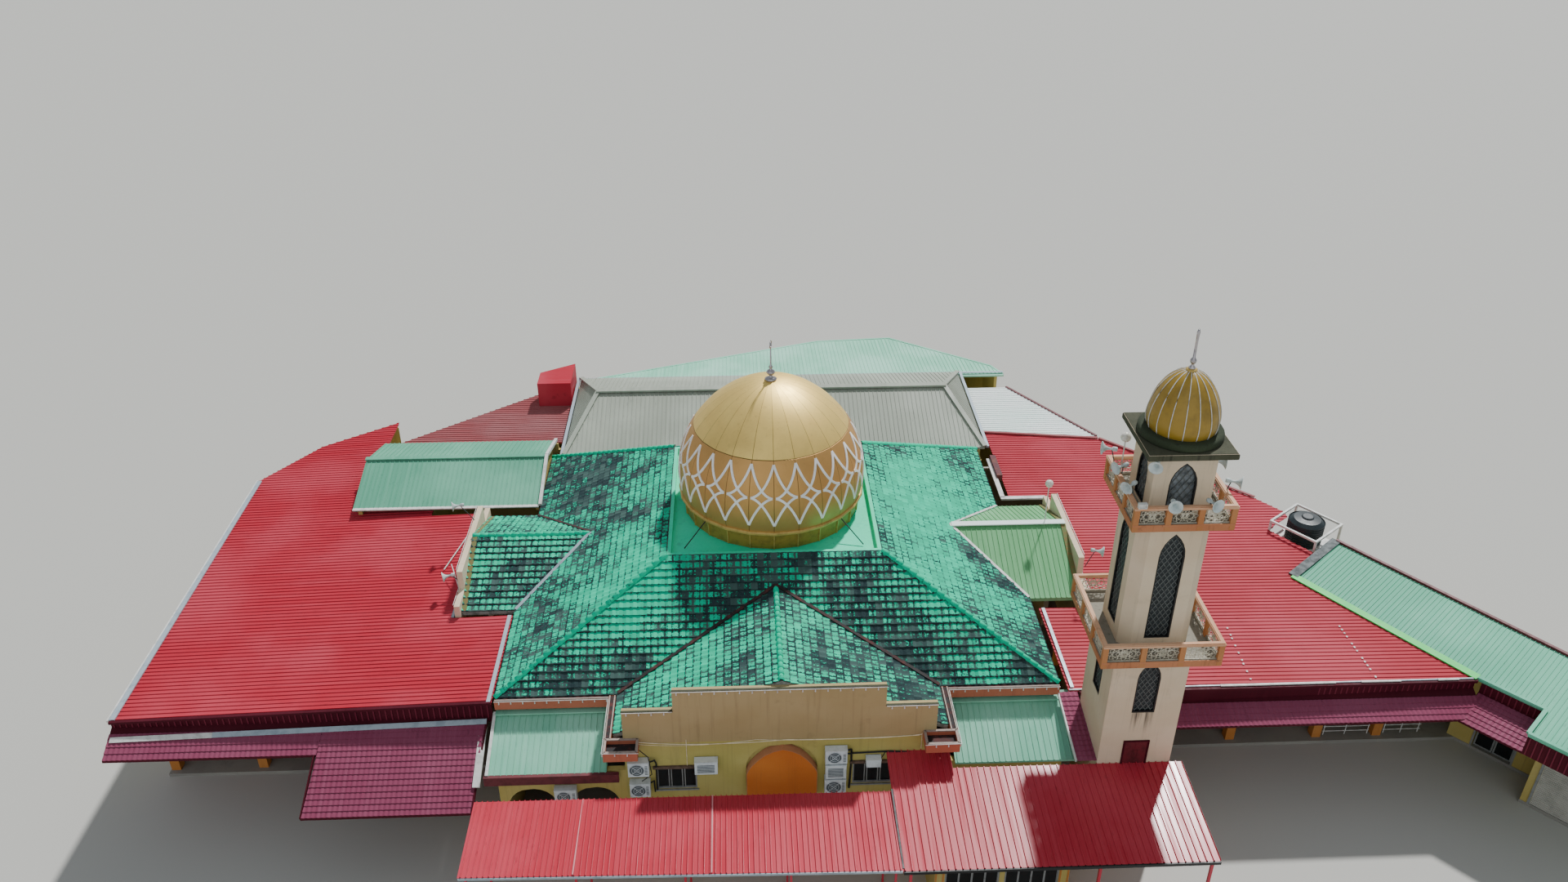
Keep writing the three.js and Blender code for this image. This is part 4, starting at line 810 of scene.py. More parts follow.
def domeProfile(count):
    # A circle that draws to a slight point: radius r cos a, height c + r sin a + tip sin^6 a
    low = math.asin((dome["ring"] - dome["centre"]) / dome["radius"])
    angle = np.linspace(low, math.pi / 2, count)
    lift = dome["tip"] * np.maximum(np.sin(angle), 0) ** 6
    radius = np.maximum(dome["radius"] * np.cos(angle), 0.0)
    return np.stack([radius, dome["centre"] + dome["radius"] * np.sin(angle) + lift], axis=1)


def addDome():
    # 24 flat-backed gores: each point lies between the round shell and the chord from seam to seam
    profile = domeProfile(44)[:-1]
    across, gores = dome["across"], dome["gores"]
    columns = gores * across
    k = np.arange(columns)
    angle = -math.pi / 2 + k / across * 2 * math.pi / gores
    chord = math.cos(math.pi / gores) / np.cos(((k / across) % 1.0 - 0.5) * 2 * math.pi / gores)
    radius = profile[:, :1] * (dome["flat"] * chord + 1 - dome["flat"])
    points = np.concatenate([polar(radius, angle, profile[:, 1:]).reshape(-1, 3), [[0, 0, dome["top"]]]])
    last, height = (len(profile) - 1) * columns, profile[-1, 1]
    cap = np.stack([last + k, last + (k + 1) % columns, 0 * k + len(points) - 1, 0 * k - 1], axis=1)
    faces = np.concatenate([gridFaces(len(profile), columns, True), cap])
    flat = np.stack(np.meshgrid(np.arange(columns + 1) / across, profile[:, 1]), axis=-1).reshape(-1, 2)
    capFlat = np.stack([np.stack([(k + step) / across, 0 * k + z], axis=1)
                        for step, z in ((0, height), (1, height), (0.5, dome["top"]), (0, height))], axis=1)
    shell = addPiece("domeGores", points, faces, "domeGold", slot="gold", smooth=True,
                     uvs=np.concatenate([flat[gridFaces(len(profile), columns + 1)], capFlat]))
    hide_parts("dome_shell")


addDome()
print("dome is in")


# Round bars, turned shapes and ridge caps

def tube(path, radius, sides=6):
    # A round bar along a line of points, closed at both ends
    path = np.asarray(path, float)
    ahead = unit(np.gradient(path, axis=0))
    up = np.where(np.abs(ahead[:, 2:3]) > 0.9, [[1.0, 0, 0]], [[0, 0, 1.0]])
    side = unit(np.cross(ahead, up))
    top = np.cross(side, ahead)
    angle = 2 * math.pi * np.arange(sides) / sides
    ring = side[:, None] * np.cos(angle)[None, :, None] - top[:, None] * np.sin(angle)[None, :, None]
    return ringed(path[:, None] + radius * ring, path[0], path[-1])


def turned(profile, sides, place=(0, 0, 0), axis=(0, 0, 1), start=0.0):
    # Radius and distance pairs turned about an axis from a place, closed to the axis at both ends
    profile = np.asarray(profile, float)
    axis = unit(np.asarray(axis, float))
    side = unit(np.cross(axis, (1.0, 0, 0) if abs(axis[0]) < 0.8 else (0, 1.0, 0)))
    angle = start + 2 * math.pi * np.arange(sides) / sides
    ring = side * np.cos(angle)[:, None] + np.cross(axis, side) * np.sin(angle)[:, None]
    poles = [place + distance * axis for distance in (profile[0, 1], profile[-1, 1])]
    profile = profile[profile[:, 0] > 0]
    rows = place + profile[:, None, 1:2] * axis + profile[:, None, 0:1] * ring
    return ringed(rows, *poles)


def capRow(start, end, radius, length, sides=6):
    # Half-round ridge caps, each a little wider at its lower end and laid over the one below
    run = np.subtract(end, start)
    count = max(1, round(np.linalg.norm(run) / length))
    side = unit(np.cross(run, (0, 0, 1)))
    top = np.cross(side, unit(run))
    angle = math.pi * np.arange(sides + 1) / sides
    arc = side[None] * np.cos(angle)[:, None] + top[None] * np.sin(angle)[:, None]
    share = np.array([[0.0, 0.72], [0.0, 1.0], [1.0, 0.78]])
    parts = []
    for i in range(count):
        centre = start + run * (i + share[:, :1]) / count
        rows = centre[:, None] + radius * share[:, 1][:, None, None] * arc[None]
        parts.append((rows.reshape(-1, 3), gridFaces(3, sides + 1)[:, ::-1]))
    return gather(parts), np.repeat(np.arange(count), 2 * sides)


# Hip and ridge caps, valleys and moss lines of the gabled roofs

caps = {"radius": 0.13, "length": 0.36, "mould": (0.05, 0.42)}
hips = [((sx * 11.5, sy * 9.55, 6.02), (sx * 4.61, sy * 4.61, 9.39)) for sx in (-1, 1) for sy in (-1, 1)]
ridges = [((0, -11.85, 8.5), (0, -5.9, 8.5)), ((-13.9, -0.05, 7.5), (-8.45, -0.05, 7.5))]


def addCaps(name, lines):
    parts, marks = [], []
    for start, end in lines:
        part, member = capRow(start, end, caps["radius"], caps["length"])
        parts.append(part)
        marks.append(rng.random(member.max() + 1)[member] * (caps["mould"][1] - caps["mould"][0]) + caps["mould"][0])
    points, faces = gather(parts)
    marks = np.concatenate(marks)
    return addPiece(name, points, faces, "roofTile", slot="tile", smooth=True, uvs=np.full((len(faces), 4, 2), 0.3),
                    faceValues={"mould": marks, "shade": marks * 0.6})


addCaps("hipCaps", hips)
addCaps("gableRidgeCaps", ridges)

valleys = {
    "rustyBlack": [((-6.55, -9.55, 6.1), (0, -5.88, 8.6), 0.16), ((6.55, -9.55, 6.1), (0, -5.88, 8.6), 0.16),
                   ((-11.5, 3.75, 6.09), (-8.43, -0.05, 7.59), 0.14)],
    "galvanised": [((-11.5, -3.85, 6.08), (-8.43, -0.05, 7.58), 0.16)],
    "white": [((11.5, 3.75, 6.07), (8.43, -0.05, 7.57), 0.14), ((11.5, -3.85, 6.07), (8.43, -0.05, 7.57), 0.14)],
}
for material, lines in valleys.items():
    addParts("valley_" + material, [beam(a, b, width, 0.05) for a, b, width in lines], material)

addParts("gableWallMoss", [beam((side * 13.78, y, 6.04), (side * 13.78, -0.05, 7.54), 0.22, 0.05)
                           for side in (-1, 1) for y in (-3.85, 3.75)], "mossStrip")
print("caps and valleys are in")


# Dome: raised lattice, ring, skirt, stays and finial

lattice = {
    "width": 0.1, "raise": 0.03, "steps": 12,
    # places in seams from the middle of a motif, and real heights: end, control, end of each curve
    "upper": ((0.0, 13.12), (0.42, 11.90), (0.93, 11.77)),
    "lower": ((0.93, 11.77), (0.42, 11.69), (0.0, 10.44)),
}


def domePoint(turn, z):
    # A place on the dome from its turn in seams and its height, and the direction outwards there
    angle = -math.pi / 2 + turn * 2 * math.pi / dome["gores"]
    profile = domeProfile(400)
    radius = np.interp(z, profile[:, 1], profile[:, 0])
    return polar(radius, angle, z), unit(polar(radius, angle, z - dome["centre"]))


def latticeBar(curve, sign, seam):
    # A quadratic curve through three places, drawn as a raised flat bar on the dome
    t = np.linspace(0, 1, lattice["steps"])[:, None]
    a, b, c = (np.array([[sign * p[0], p[1]]]) for p in curve)
    flat = (1 - t) ** 2 * a + 2 * t * (1 - t) * b + t ** 2 * c
    centre, outward = domePoint(seam + flat[:, 0], flat[:, 1])
    side = np.cross(outward, unit(np.gradient(centre, axis=0))) * lattice["width"] / 2
    low, high = -0.03 * outward, lattice["raise"] * outward
    rows = np.stack([centre - side + low, centre - side + high, centre + side + high, centre + side + low], axis=1)
    faces = gridFaces(len(rows), 4, True)[:, ::-1]
    last = 4 * (len(rows) - 1)
    ends = np.array([[0, 1, 2, 3], [last + 3, last + 2, last + 1, last]])
    return rows.reshape(-1, 3), np.concatenate([faces, ends])


bars = [latticeBar(lattice[part], sign, seam) for part in ("upper", "lower") for sign in (-1, 1)
        for seam in range(dome["gores"])]
addParts("domeLattice", bars, "lattice")

domeTrim = {
    # radius and height pairs of the ring and the skirt below it, the skirt's seams, and the stays' ends
    "ring": [(4.02, 9.90), (4.17, 9.90), (4.22, 9.95), (4.22, 10.02), (4.17, 10.07), (4.06, 10.09)],
    "skirt": [(3.91, 9.1), (3.96, 9.1), (3.98, 9.5), (4.04, 9.92), (3.98, 9.92)],
    "seam": [(3.98, 9.12), (4.04, 9.9)],
    "stay": [(2.95, 2.95, 9.98), (3.9, 3.85, 9.16)],
}
# the skirt's olive gold paints the reflection of the turquoise platform
for name, part, material in (("domeRing", "ring", "ringGold"), ("domeSkirt", "skirt", "skirtGold")):
    addParts(name, [revolved(domeTrim[part], dome["gores"], -math.pi / 2)], material, slot="gold")
turns = -math.pi / 2 + 2 * math.pi * np.arange(dome["gores"]) / dome["gores"]
addParts("domeSkirtJoints", [beam(*[(r * c, r * s, z) for r, z in domeTrim["seam"]], 0.05, 0.06, (c, s, 0))
                             for c, s in zip(np.cos(turns), np.sin(turns))], "ringGold")
addParts("domeStays", [tube(np.array([sx, sy, 1]) * domeTrim["stay"], 0.025) for sy in (-1, 1) for sx in (-1, 1)],
         "black")

t = dome["top"]
finialProfile = [(0.0, t - 0.02), (0.26, t), (0.27, t + 0.05), (0.17, t + 0.10), (0.08, t + 0.16), (0.07, t + 0.22),
                 (0.15, t + 0.28), (0.20, t + 0.36), (0.15, t + 0.44), (0.06, t + 0.50), (0.05, t + 0.56),
                 (0.10, t + 0.61), (0.05, t + 0.67), (0.035, t + 0.8), (0.03, t + 1.5), (0.0, t + 1.52)]
a = np.linspace(math.radians(115), math.radians(425), 22)
crescent = np.stack([0.03 * np.cos(a), 0.16 * np.cos(a), t + 1.68 + 0.16 * np.sin(a)], axis=1)
finial = addParts("domeSpindle", [turned(finialProfile, 20), tube(crescent, 0.03)], "steel", slot="steel", smooth=True)
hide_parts("dome_finial")
print("dome detail is in")


# Edges, flashings and gutters of the sheet roofs

def leftRoof(x):
    return 5.95 + 0.033 * (x + 11.6) + 0.06


def rightRoof(x):
    return 5.62 - 0.012 * (x - 12) + 0.06


def line(material, width, depth, *path, up=(0, 0, 1)):
    return material, strip([tuple(p) for p in path], width, depth, up)


skirtUp = (0, -0.468, 0.884)               # square to the left skirt
trimLines = [
    # left wing: edge gutters, flashing below the band, gutter beside the lean-to
    line("galvanised", 0.22, 0.06, (-26.74, -9.7, leftRoof(-26.7)), (-26.9, 8.5, leftRoof(-26.9))),
    line("white", 0.07, 0.10, (-26.92, -9.72, leftRoof(-26.8) - 0.05), (-27.06, 8.6, leftRoof(-26.9) - 0.05)),
    line("white", 0.22, 0.03, (-26.7, -10.29, 5.0), (-22.7, -10.204, 5.043), up=skirtUp),
    line("galvanised", 0.22, 0.03, (-22.7, -10.2, 5.04), (-11.85, -9.97, 5.155), up=skirtUp),
    line("white", 0.30, 0.10, (-11.98, -9.95, 5.02), (-12.0, -12.35, 3.92)),
    line("galvanised", 0.16, 0.07, (-11.72, -9.8, leftRoof(-11.7)), (-11.72, -4.2, leftRoof(-11.7))),
    line("maroonBand", 0.14, 0.10, (-26.8, -9.82, leftRoof(-26.8) - 0.02), (-11.62, -9.82, leftRoof(-11.6) - 0.02)),
    line("galvanised", 0.12, 0.06, (-14.25, -4.1, leftRoof(-14.3)), (-14.25, 4.2, leftRoof(-14.3))),
    # left gabled roof: eave flashing, ridge and the upright beside the hall
    line("white", 0.20, 0.05, (-20.9, 4.62, 6.08), (-11.62, 4.62, 6.08)),
    line("greenGabled", 0.30, 0.06, (-20.95, 8.0, 7.06), (-11.6, 8.0, 7.06)),
    line("white", 0.16, 0.16, (-11.55, 4.65, 6.12), (-11.55, 8.0, 7.08), (-11.55, 11.3, 6.12)),
    # right wing: gutter round the corner of the hall, front edge and flashing beside the tower
    line("white", 0.24, 0.10, (12.1, 8.9, 5.72), (12.1, 5.0, 5.72)),
    line("white", 0.24, 0.10, (12.0, 4.95, 5.72), (14.3, 4.95, 5.72)),
    line("rust", 0.30, 0.30, (12.32, 9.0, 5.78), (12.32, 6.9, 5.78)),
    line("galvanised", 0.05, 0.05, (11.95, -9.62, rightRoof(12)), (29.35, -9.37, rightRoof(29.3))),
    *[line("white", 0.09, 0.05, (x0, y0, rightRoof(int(x0)) + 0.02), (x1, y1, rightRoof(int(x1)) + 0.02))
      for x0, y0, x1, y1 in ((18.3, -9.56, 23.2, -9.49), (24.3, -9.47, 26.0, -9.45), (27.6, -9.43, 28.5, -9.42))],
    line("maroonBand", 0.12, 0.12, (16.0, -9.70, rightRoof(16) - 0.08), (29.3, -9.46, rightRoof(29.3) - 0.08)),
    line("galvanised", 0.14, 0.05, (12.1, -9.5, 5.69), (12.1, -4.2, 5.69)),
    line("white", 0.12, 0.06, (14.38, -4.15, 5.70), (14.38, 5.05, 5.70)),
    line("maroonBand", 0.10, 0.16, (12.35, -9.70, 5.56), (16.0, -9.70, 5.52)),
    line("redOldAlongX", 0.16, 0.07, (12.4, 11.95, 5.72), (18.75, 11.2, 5.62)),
    line("redOldAlongX", 0.14, 0.07, (18.8, 11.15, 5.63), (25.3, 4.85, 5.55)),
    # right gable: ridge
    line("greenAlongX", 0.34, 0.05, (8.5, -0.05, 7.57), (13.88, -0.05, 7.57)),
    # rear hall: ridge cap, hips and gutters
    line("beige", 0.42, 0.10, (-9.5, 14.35, 7.55), (10.5, 14.35, 7.55)),
    *[line("beige", 0.26, 0.08, (x, y, 6.08), (top, rear["middle"], 7.54))
      for x, top in ((rear["left"], rear["ridgeLeft"]), (rear["right"], rear["ridgeRight"]))
      for y in (rear["front"], rear["back"])],
    *[line("galvanised", 0.16, 0.12, (x, rear["front"], 6.02), (x, rear["back"], 6.02)) for x in (12.2, -11.08)],
    line("galvanised", 0.14, 0.05, (-10.9, 19.0, 5.95), (14.9, 19.0, 5.95)),
    line("greenRear", 0.12, 0.08, (14.88, 18.9, 5.84), (14.4, 20.4, 5.68), (8.7, 26.15, 5.0), (3.85, 25.75, 5.03),
         (-10.95, 18.85, 5.86)),
    line("darkRed", 0.12, 0.10, (18.75, 11.45, 5.6), (14.85, 17.65, 5.6)),
    # lean-to roofs beside the portico
    line("white", 0.12, 0.06, (-11.55, -12.3, 4.47), (-11.55, -9.65, 5.36)),
    line("darkRed", 0.16, 0.42, (-11.66, -12.34, 4.24), (-6.4, -12.34, 4.24)),
    line("white", 0.06, 0.12, (11.47, -12.95, 5.0), (11.47, -9.7, 5.62)),
    *[line("greenAlongY", 0.30, 0.06, (x, -9.72, 5.38), (x + 4.6, -9.72, 5.38)) for x in (-11.5, 6.9)],
    # canopies: joint, seams and front edges
    line("black", 0.07, 0.05, (4.13, -14.0, 4.86), (4.13, -17.6, 4.66)),
    *[line("redPale", 0.05, 0.05, (x0, -13.98, 4.80), (x1, y, 4.70)) for x0, x1, y in ((-7.58, -7.62, -17.42),
                                                                                     (-2.7, -2.7, -17.52))],
    line("galvanised", 0.06, 0.10, (-11.67, -17.38, 4.60), (4.1, -17.68, 4.60)),
    line("black", 0.08, 0.12, (4.15, -17.64, 4.48), (15.62, -17.64, 4.48)),
]
annexRun = [annexPoint(x, y) + (annexTop(y) + 0.07,) for x, y in annex["outline"]]
trimLines += [
    line("brightGreen", 0.40, 0.05, annexRun[0], annexRun[1]),
    line("greenAnnex", 0.16, 0.10, annexRun[1], annexRun[2], annexRun[3], annexRun[4]),
    line("darkGrey", 0.45, 0.07, annexRun[6], annexRun[0]),
    line("darkRed", 0.16, 0.12, annexRun[5], annexRun[6]),
    line("greenAnnex", 0.16, 0.10, annexRun[4], annexRun[5]),
]
for material in dict.fromkeys(m for m, part in trimLines):
    addParts("trim_" + material, [part for m, part in trimLines if m == material], material)
print("edges and flashings are in")


# Maroon sheet pressed into a tile pattern

pressed = {"width": 0.2, "row": 0.243, "step": 0.03, "wave": 0.028, "lift": 0.012}
skirts = {
    # a skirt's level, its rise towards +Y, and where it has that level
    "left": (5.2, 0.53, -9.75), "right": (4.85, 0.5, -9.62), "annex": (4.85, 0.317, -2.52),
    "tower": (5.02, 0.6 / 3.3, -13.0),
}
pressedSlopes = {
    "leftSkirtTiles": ("left", [[(-26.8, -10.98), (-18.45, -10.98), (-18.38, -10.02), (-26.8, -10.02)],
                                [(-18.62, -13.18), (-12.12, -13.18), (-11.87, -10.02), (-18.37, -10.02)]]),
    "rightSkirtTiles": ("right", [[(16.0, -10.62), (29.05, -10.62), (29.3, -9.7), (16.0, -9.7)]]),
    "annexSkirtTiles": ("annex", [[(1.95, -4.25), (4.4, -4.25), (4.4, -2.6), (1.95, -2.6)]]),
    "towerLeanToTiles": ("tower", [[(11.5, -13.0), (12.26, -13.0), (12.26, -9.7), (11.5, -9.7)]]),
}


def onSkirt(skirt, x, y):
    level, rise, front = skirts[skirt]
    return *(annexPoint(x, y) if skirt == "annex" else (x, y)), level + rise * (y - front)


for name, (skirt, slopes) in pressedSlopes.items():
    addParts(name, [tiledSlope([onSkirt(skirt, *p) for p in corners], **pressed)[:2] for corners in slopes],
             "maroonSheet", slot="maroon")
addParts("skirtEdges", [beam(onSkirt(skirt, *a), onSkirt(skirt, *b), *size) for skirt, a, b, size in (
    ("left", (-26.8, -11.0), (-18.5, -11.0), (0.05, 0.10)), ("left", (-18.66, -13.2), (-12.1, -13.2), (0.05, 0.10)),
    ("left", (-18.55, -10.98), (-18.66, -13.2), (0.05, 0.12)), ("left", (-12.1, -13.2), (-11.85, -9.85), (0.08, 0.10)),
    ("right", (16.0, -10.64), (29.0, -10.64), (0.05, 0.08)))], "maroonBand")
print("pressed sheet is in")


# Parts on upright faces, drawn as (across, up, out) on a wall that looks along -Y, then turned into place

tower = {"place": (13.71, -11.59), "base": 1.44, "shaft": 1.318, "kiosk": 1.075}
walls = {
    # turn about a place in plan, the place, and how far in front of it the face stands
    "portico": (0.0, (0.0, 0.0), 12.1),
    "frontRoom": (0.0, (0.0, 0.0), 15.7),
    "annexDoor": (annex["turn"], annex["place"], 0.0),
    "annexStore": (annex["turn"], annex["place"], 1.8),
}
for stage in ("base", "shaft", "kiosk"):
    for quarter in range(4):
        walls[stage + str(quarter)] = (quarter * math.pi / 2, tower["place"], tower[stage])


def onWall(wall, *parts):
    # x = place + across cos t + (out + reach) sin t, y = place + across sin t - (out + reach) cos t, z = up
    turn, centre, reach = walls[wall]
    c, s = math.cos(turn), math.sin(turn)
    points, faces = gather(parts)
    out = points[:, 2] + reach
    return np.stack([centre[0] + c * points[:, 0] + s * out, centre[1] + s * points[:, 0] - c * out, points[:, 1]],
                    axis=1), faces


def addOnWall(name, wall, parts, material, **more):
    addParts(name, [onWall(wall, *parts)], material, **more)


def onTower(profile, sides, start=0.0):
    return turned(profile, sides, (*tower["place"], 0), start=start)


def rectangle(u0, u1, v0, v1):
    return np.array([(u0, v0), (u1, v0), (u1, v1), (u0, v1)], float)


def plate(outline, low, high):
    # A convex outline in (across, up), as thick as from one distance outwards to another
    n = len(outline)
    points = np.concatenate([np.column_stack([outline, np.full(n, out)]) for out in (low, high)])
    k, i = np.arange(1, n - 1), np.arange(n)
    none = np.full(n - 2, -1)
    under, over = np.stack([0 * k, k + 1, k, none], axis=1), np.stack([0 * k + n, n + k, n + k + 1, none], axis=1)
    sides = np.stack([i, (i + 1) % n, n + (i + 1) % n, n + i], axis=1)
    return points, np.concatenate([under, over, sides])


def boards(low, high, rows):
    # Plates over rectangles, each given as left, right, bottom and top
    return [plate(rectangle(*row), low, high) for row in rows]


def frameOf(outline, width, low, high):
    # A band of even width inside an outline, as thick as from one distance outwards to another
    inner = grown(outline, -width)
    rows = [np.column_stack([loop, np.full(len(outline), out)])
            for loop, out in ((outline, low), (outline, high), (inner, high), (inner, low))]
    return np.concatenate(rows), gridFaces(4, len(outline), True, True)


def pointedArch(half, foot, spring, crown, centre=0.0, steps=8):
    # Two arcs that meet at the crown; their radius is (half² + rise²) / (2 half), centred on the springing line
    rise = crown - spring
    radius = (half * half + rise * rise) / (2 * half)
    angle = np.linspace(0, math.asin(rise / radius), steps)
    right = np.stack([half - radius + radius * np.cos(angle), spring + radius * np.sin(angle)], axis=1)
    left = right[-2::-1] * np.array([-1, 1])
    return np.concatenate([[(-half, foot), (half, foot)], right, left]) + np.array([centre, 0])


def diamondBars(outline, spacing, slope, width, low, high):
    # Two families of parallel bars, each cut where it leaves the convex outline
    ahead = np.roll(outline, -1, axis=0) - outline
    inward = unit(np.stack([-ahead[:, 1], ahead[:, 0]], axis=1))
    parts = []
    for sign in (-1, 1):
        along = np.array([1.0, sign * slope]) / math.hypot(1, slope)
        across = np.array([-along[1], along[0]])
        reach = outline @ across
        for offset in np.arange(reach.min() + spacing / 2, reach.max(), spacing):
            point = offset * across
            gap, rate = np.einsum("ij,ij->i", point - outline, inward), inward @ along
            rate = np.where(np.abs(rate) < 1e-9, 1e-9, rate)
            enter, leave = np.max(np.where(rate > 0, -gap / rate, -99)), np.min(np.where(rate < 0, -gap / rate, 99))
            if leave - enter > 0.06:
                a, b = ((*(point + t * along), (low + high) / 2) for t in (enter, leave))
                parts.append(beam(a, b, width, high - low))
    return parts


def circle(u, v, w, radius, count=18):
    return (u, v, w) + polar(radius, np.linspace(0, 2 * math.pi, count + 1), 0)


bandRibs = {
    "pitch": 0.24, "width": 0.05, "depth": 0.03,
    # turn, place in plan and reach of a band's face; from, to; top at the start and its fall; height
    "bands": [((0.0, (0.0, 0.0), 9.75), -26.7, -11.7, 5.43, 0.033, 0.86),
              ((0.01445, (12.0, -9.62), 0.0), 4.1, 17.2, 5.55, -0.012, 0.62),
              ((annex["turn"], annex["place"], 2.52), 2.1, 4.3, 5.32, 0.0, 0.5),
              ((annex["turn"], annex["place"], 4.35), 4.5, 9.5, 5.2, 0.0, 0.86)],
}


def addBandRibs():
    # Upright ribs at even steps along each band
    q = bandRibs
    parts = []
    for number, (wall, start, end, top, fall, tall) in enumerate(q["bands"]):
        walls["band%d" % number] = wall
        rows = [(u, u + q["width"], top + fall * (u - start) - tall, top + fall * (u - start))
                for u in np.arange(start, end, q["pitch"])]
        parts.append(onWall("band%d" % number, *boards(-0.01, q["depth"], rows)))
    addParts("bandRibs", parts, "maroonRib")


addBandRibs()
print("wall helpers and band ribs are ready")


# Portico: coping, arch panel, windows, coolers, cables and lights

portico = {"left": -6.15, "right": 6.05, "low": 7.35, "high": 8.32, "highLeft": -4.18, "highRight": 4.03,
           "windows": [(-4.95, -3.35), (2.82, 4.42)], "sill": 3.3, "head": 4.42}
q = portico
archOutline = np.array([(-1.4, 2.86), (1.4, 2.86), (1.4, 4.22), (1.33, 4.42), (1.19, 4.66), (0.97, 4.95), (0.72, 5.2),
                        (0.4, 5.39), (0.04, 5.5), (-0.34, 5.39), (-0.68, 5.2), (-0.95, 4.95), (-1.19, 4.66),
                        (-1.33, 4.42), (-1.4, 4.22)])
addParts("copings", [block(x0 - 0.02, x1 + 0.02, -12.125, -12.02, z + 0.003, z + 0.03) for x0, x1, z in (
    (q["left"], q["highLeft"], q["low"]), (q["highLeft"], q["highRight"], q["high"]),
    (q["highRight"], q["right"], q["low"]))], "mossy")
addOnWall("archBorder", "portico", [plate(archOutline, -0.1, 0.29)], "archBand")
addOnWall("archPanel", "portico", [plate(grown(archOutline, -0.02), 0.2, 0.30)], "archOrange")
frames, glazing, heads = [], [], []
sill, head = q["sill"], q["head"]
for u0, u1 in q["windows"]:
    third = (u1 - u0) / 3
    frames += [frameOf(rectangle(u0, u1, sill, head), 0.05, -0.12, -0.02)]
    frames += [frameOf(rectangle(u0 + k * third + 0.03, u0 + (k + 1) * third - 0.03, sill + 0.03, head - 0.03), 0.04,
                       -0.1, -0.05) for k in range(3)]
    frames += boards(-0.01, 0.06, [(u0 - 0.06, u1 + 0.06, sill - 0.07, sill - 0.01)])
    glazing += boards(-0.09, -0.08, [(u0 + 0.04, u1 - 0.04, sill + 0.04, head - 0.04)])
    heads += boards(-0.01, 0.09, [(u0 - 0.12, u1 + 0.12, head + 0.01, head + 0.13)])
addOnWall("porticoWindowFrames", "portico", frames, "windowFrame")
addOnWall("porticoPanes", "portico", glazing, "glass")
addOnWall("porticoWindowHeads", "portico", heads, "timber")

coolers = [
    # left, right, bottom, top on the portico's wall
    (-6.02, -5.2, 4.33, 5.06), (-6.0, -5.2, 3.24, 3.95), (-3.42, -2.52, 4.36, 5.0), (1.70, 2.56, 4.72, 5.40),
    (1.72, 2.54, 3.93, 4.64), (1.70, 2.54, 3.1, 3.86), (3.32, 3.9, 4.48, 4.86), (-8.98, -8.12, 3.05, 3.72),
]
louvred = [(1.72, 3.93), (-3.42, 4.36)]    # left and bottom of those with louvres in place of a fan
coolerSize = {"depth": 0.31, "gap": 0.05, "fan": 0.4, "small": 0.7}


def addCoolers():
    # Casing with a lid, feet, a round fan guard of rings and spokes, and a louvred end
    gap = coolerSize["gap"]
    face = gap + coolerSize["depth"]
    casings, guards, dark = [], [], []
    for u0, u1, v0, v1 in coolers:
        casings += [*boards(gap, face, [(u0, u1, v0, v1 - 0.02)]),
                    *boards(gap - 0.01, face + 0.012, [(u0 - 0.012, u1 + 0.012, v1 - 0.035, v1)]),
                    frameOf(rectangle(u0 + 0.01, u1 - 0.01, v0 + 0.01, v1 - 0.05), 0.02, face - 0.01, face + 0.008)]
        if (u0, v0) in louvred:
            dark += boards(face, face + 0.012, [(u0 + 0.1, u1 - 0.12, z, z + 0.025)
                                                for z in np.arange(v0 + 0.1, v1 - 0.14, 0.06)])
        elif u1 - u0 >= coolerSize["small"]:
            radius, cu, cv = coolerSize["fan"] * (v1 - v0), u0 + 0.42 * (u1 - u0), (v0 + v1) / 2 - 0.01
            dark.append(turned([(radius, 0), (radius * 0.98, 0.01)], 22, (cu, cv, face - 0.002)))
            guards += [tube(circle(cu, cv, face + 0.018, radius * share), 0.008, 4) for share in (0.34, 0.68, 1.0)]
            guards += [beam((cu, cv, face + 0.018), (cu + radius * math.cos(a), cv + radius * math.sin(a),
                                                     face + 0.018), 0.014, 0.012)
                       for a in np.arange(4) * math.pi / 2 + 0.78]
            dark += boards(face, face + 0.012, [(u1 - 0.16, u1 - 0.05, z, z + 0.02)
                                                for z in np.arange(v0 + 0.12, v1 - 0.15, 0.06)])
        dark += boards(0.0, face - 0.03, [(u, u + 0.04, v0 - 0.05, v0) for u in (u0 + 0.12, u1 - 0.16)])
    addOnWall("coolerCasings", "portico", casings, "casing")
    addOnWall("coolerGuards", "portico", guards, "casing")
    addOnWall("coolerFans", "portico", dark, "fanGrey")


addCoolers()


def hung(radius, points, sides=6, sag=0.0, steps=8):
    # A pipe or cable through (across, up, out) places, with the sag of a parabola between them
    points = np.asarray(points, float)
    t = np.linspace(0, 1, steps + 1)[:-1, None]
    runs = [a + (b - a) * t - np.array([0, sag, 0]) * 4 * t * (1 - t) for a, b in zip(points[:-1], points[1:])]
    return tube(np.concatenate(runs + [points[-1:]]), radius, sides)


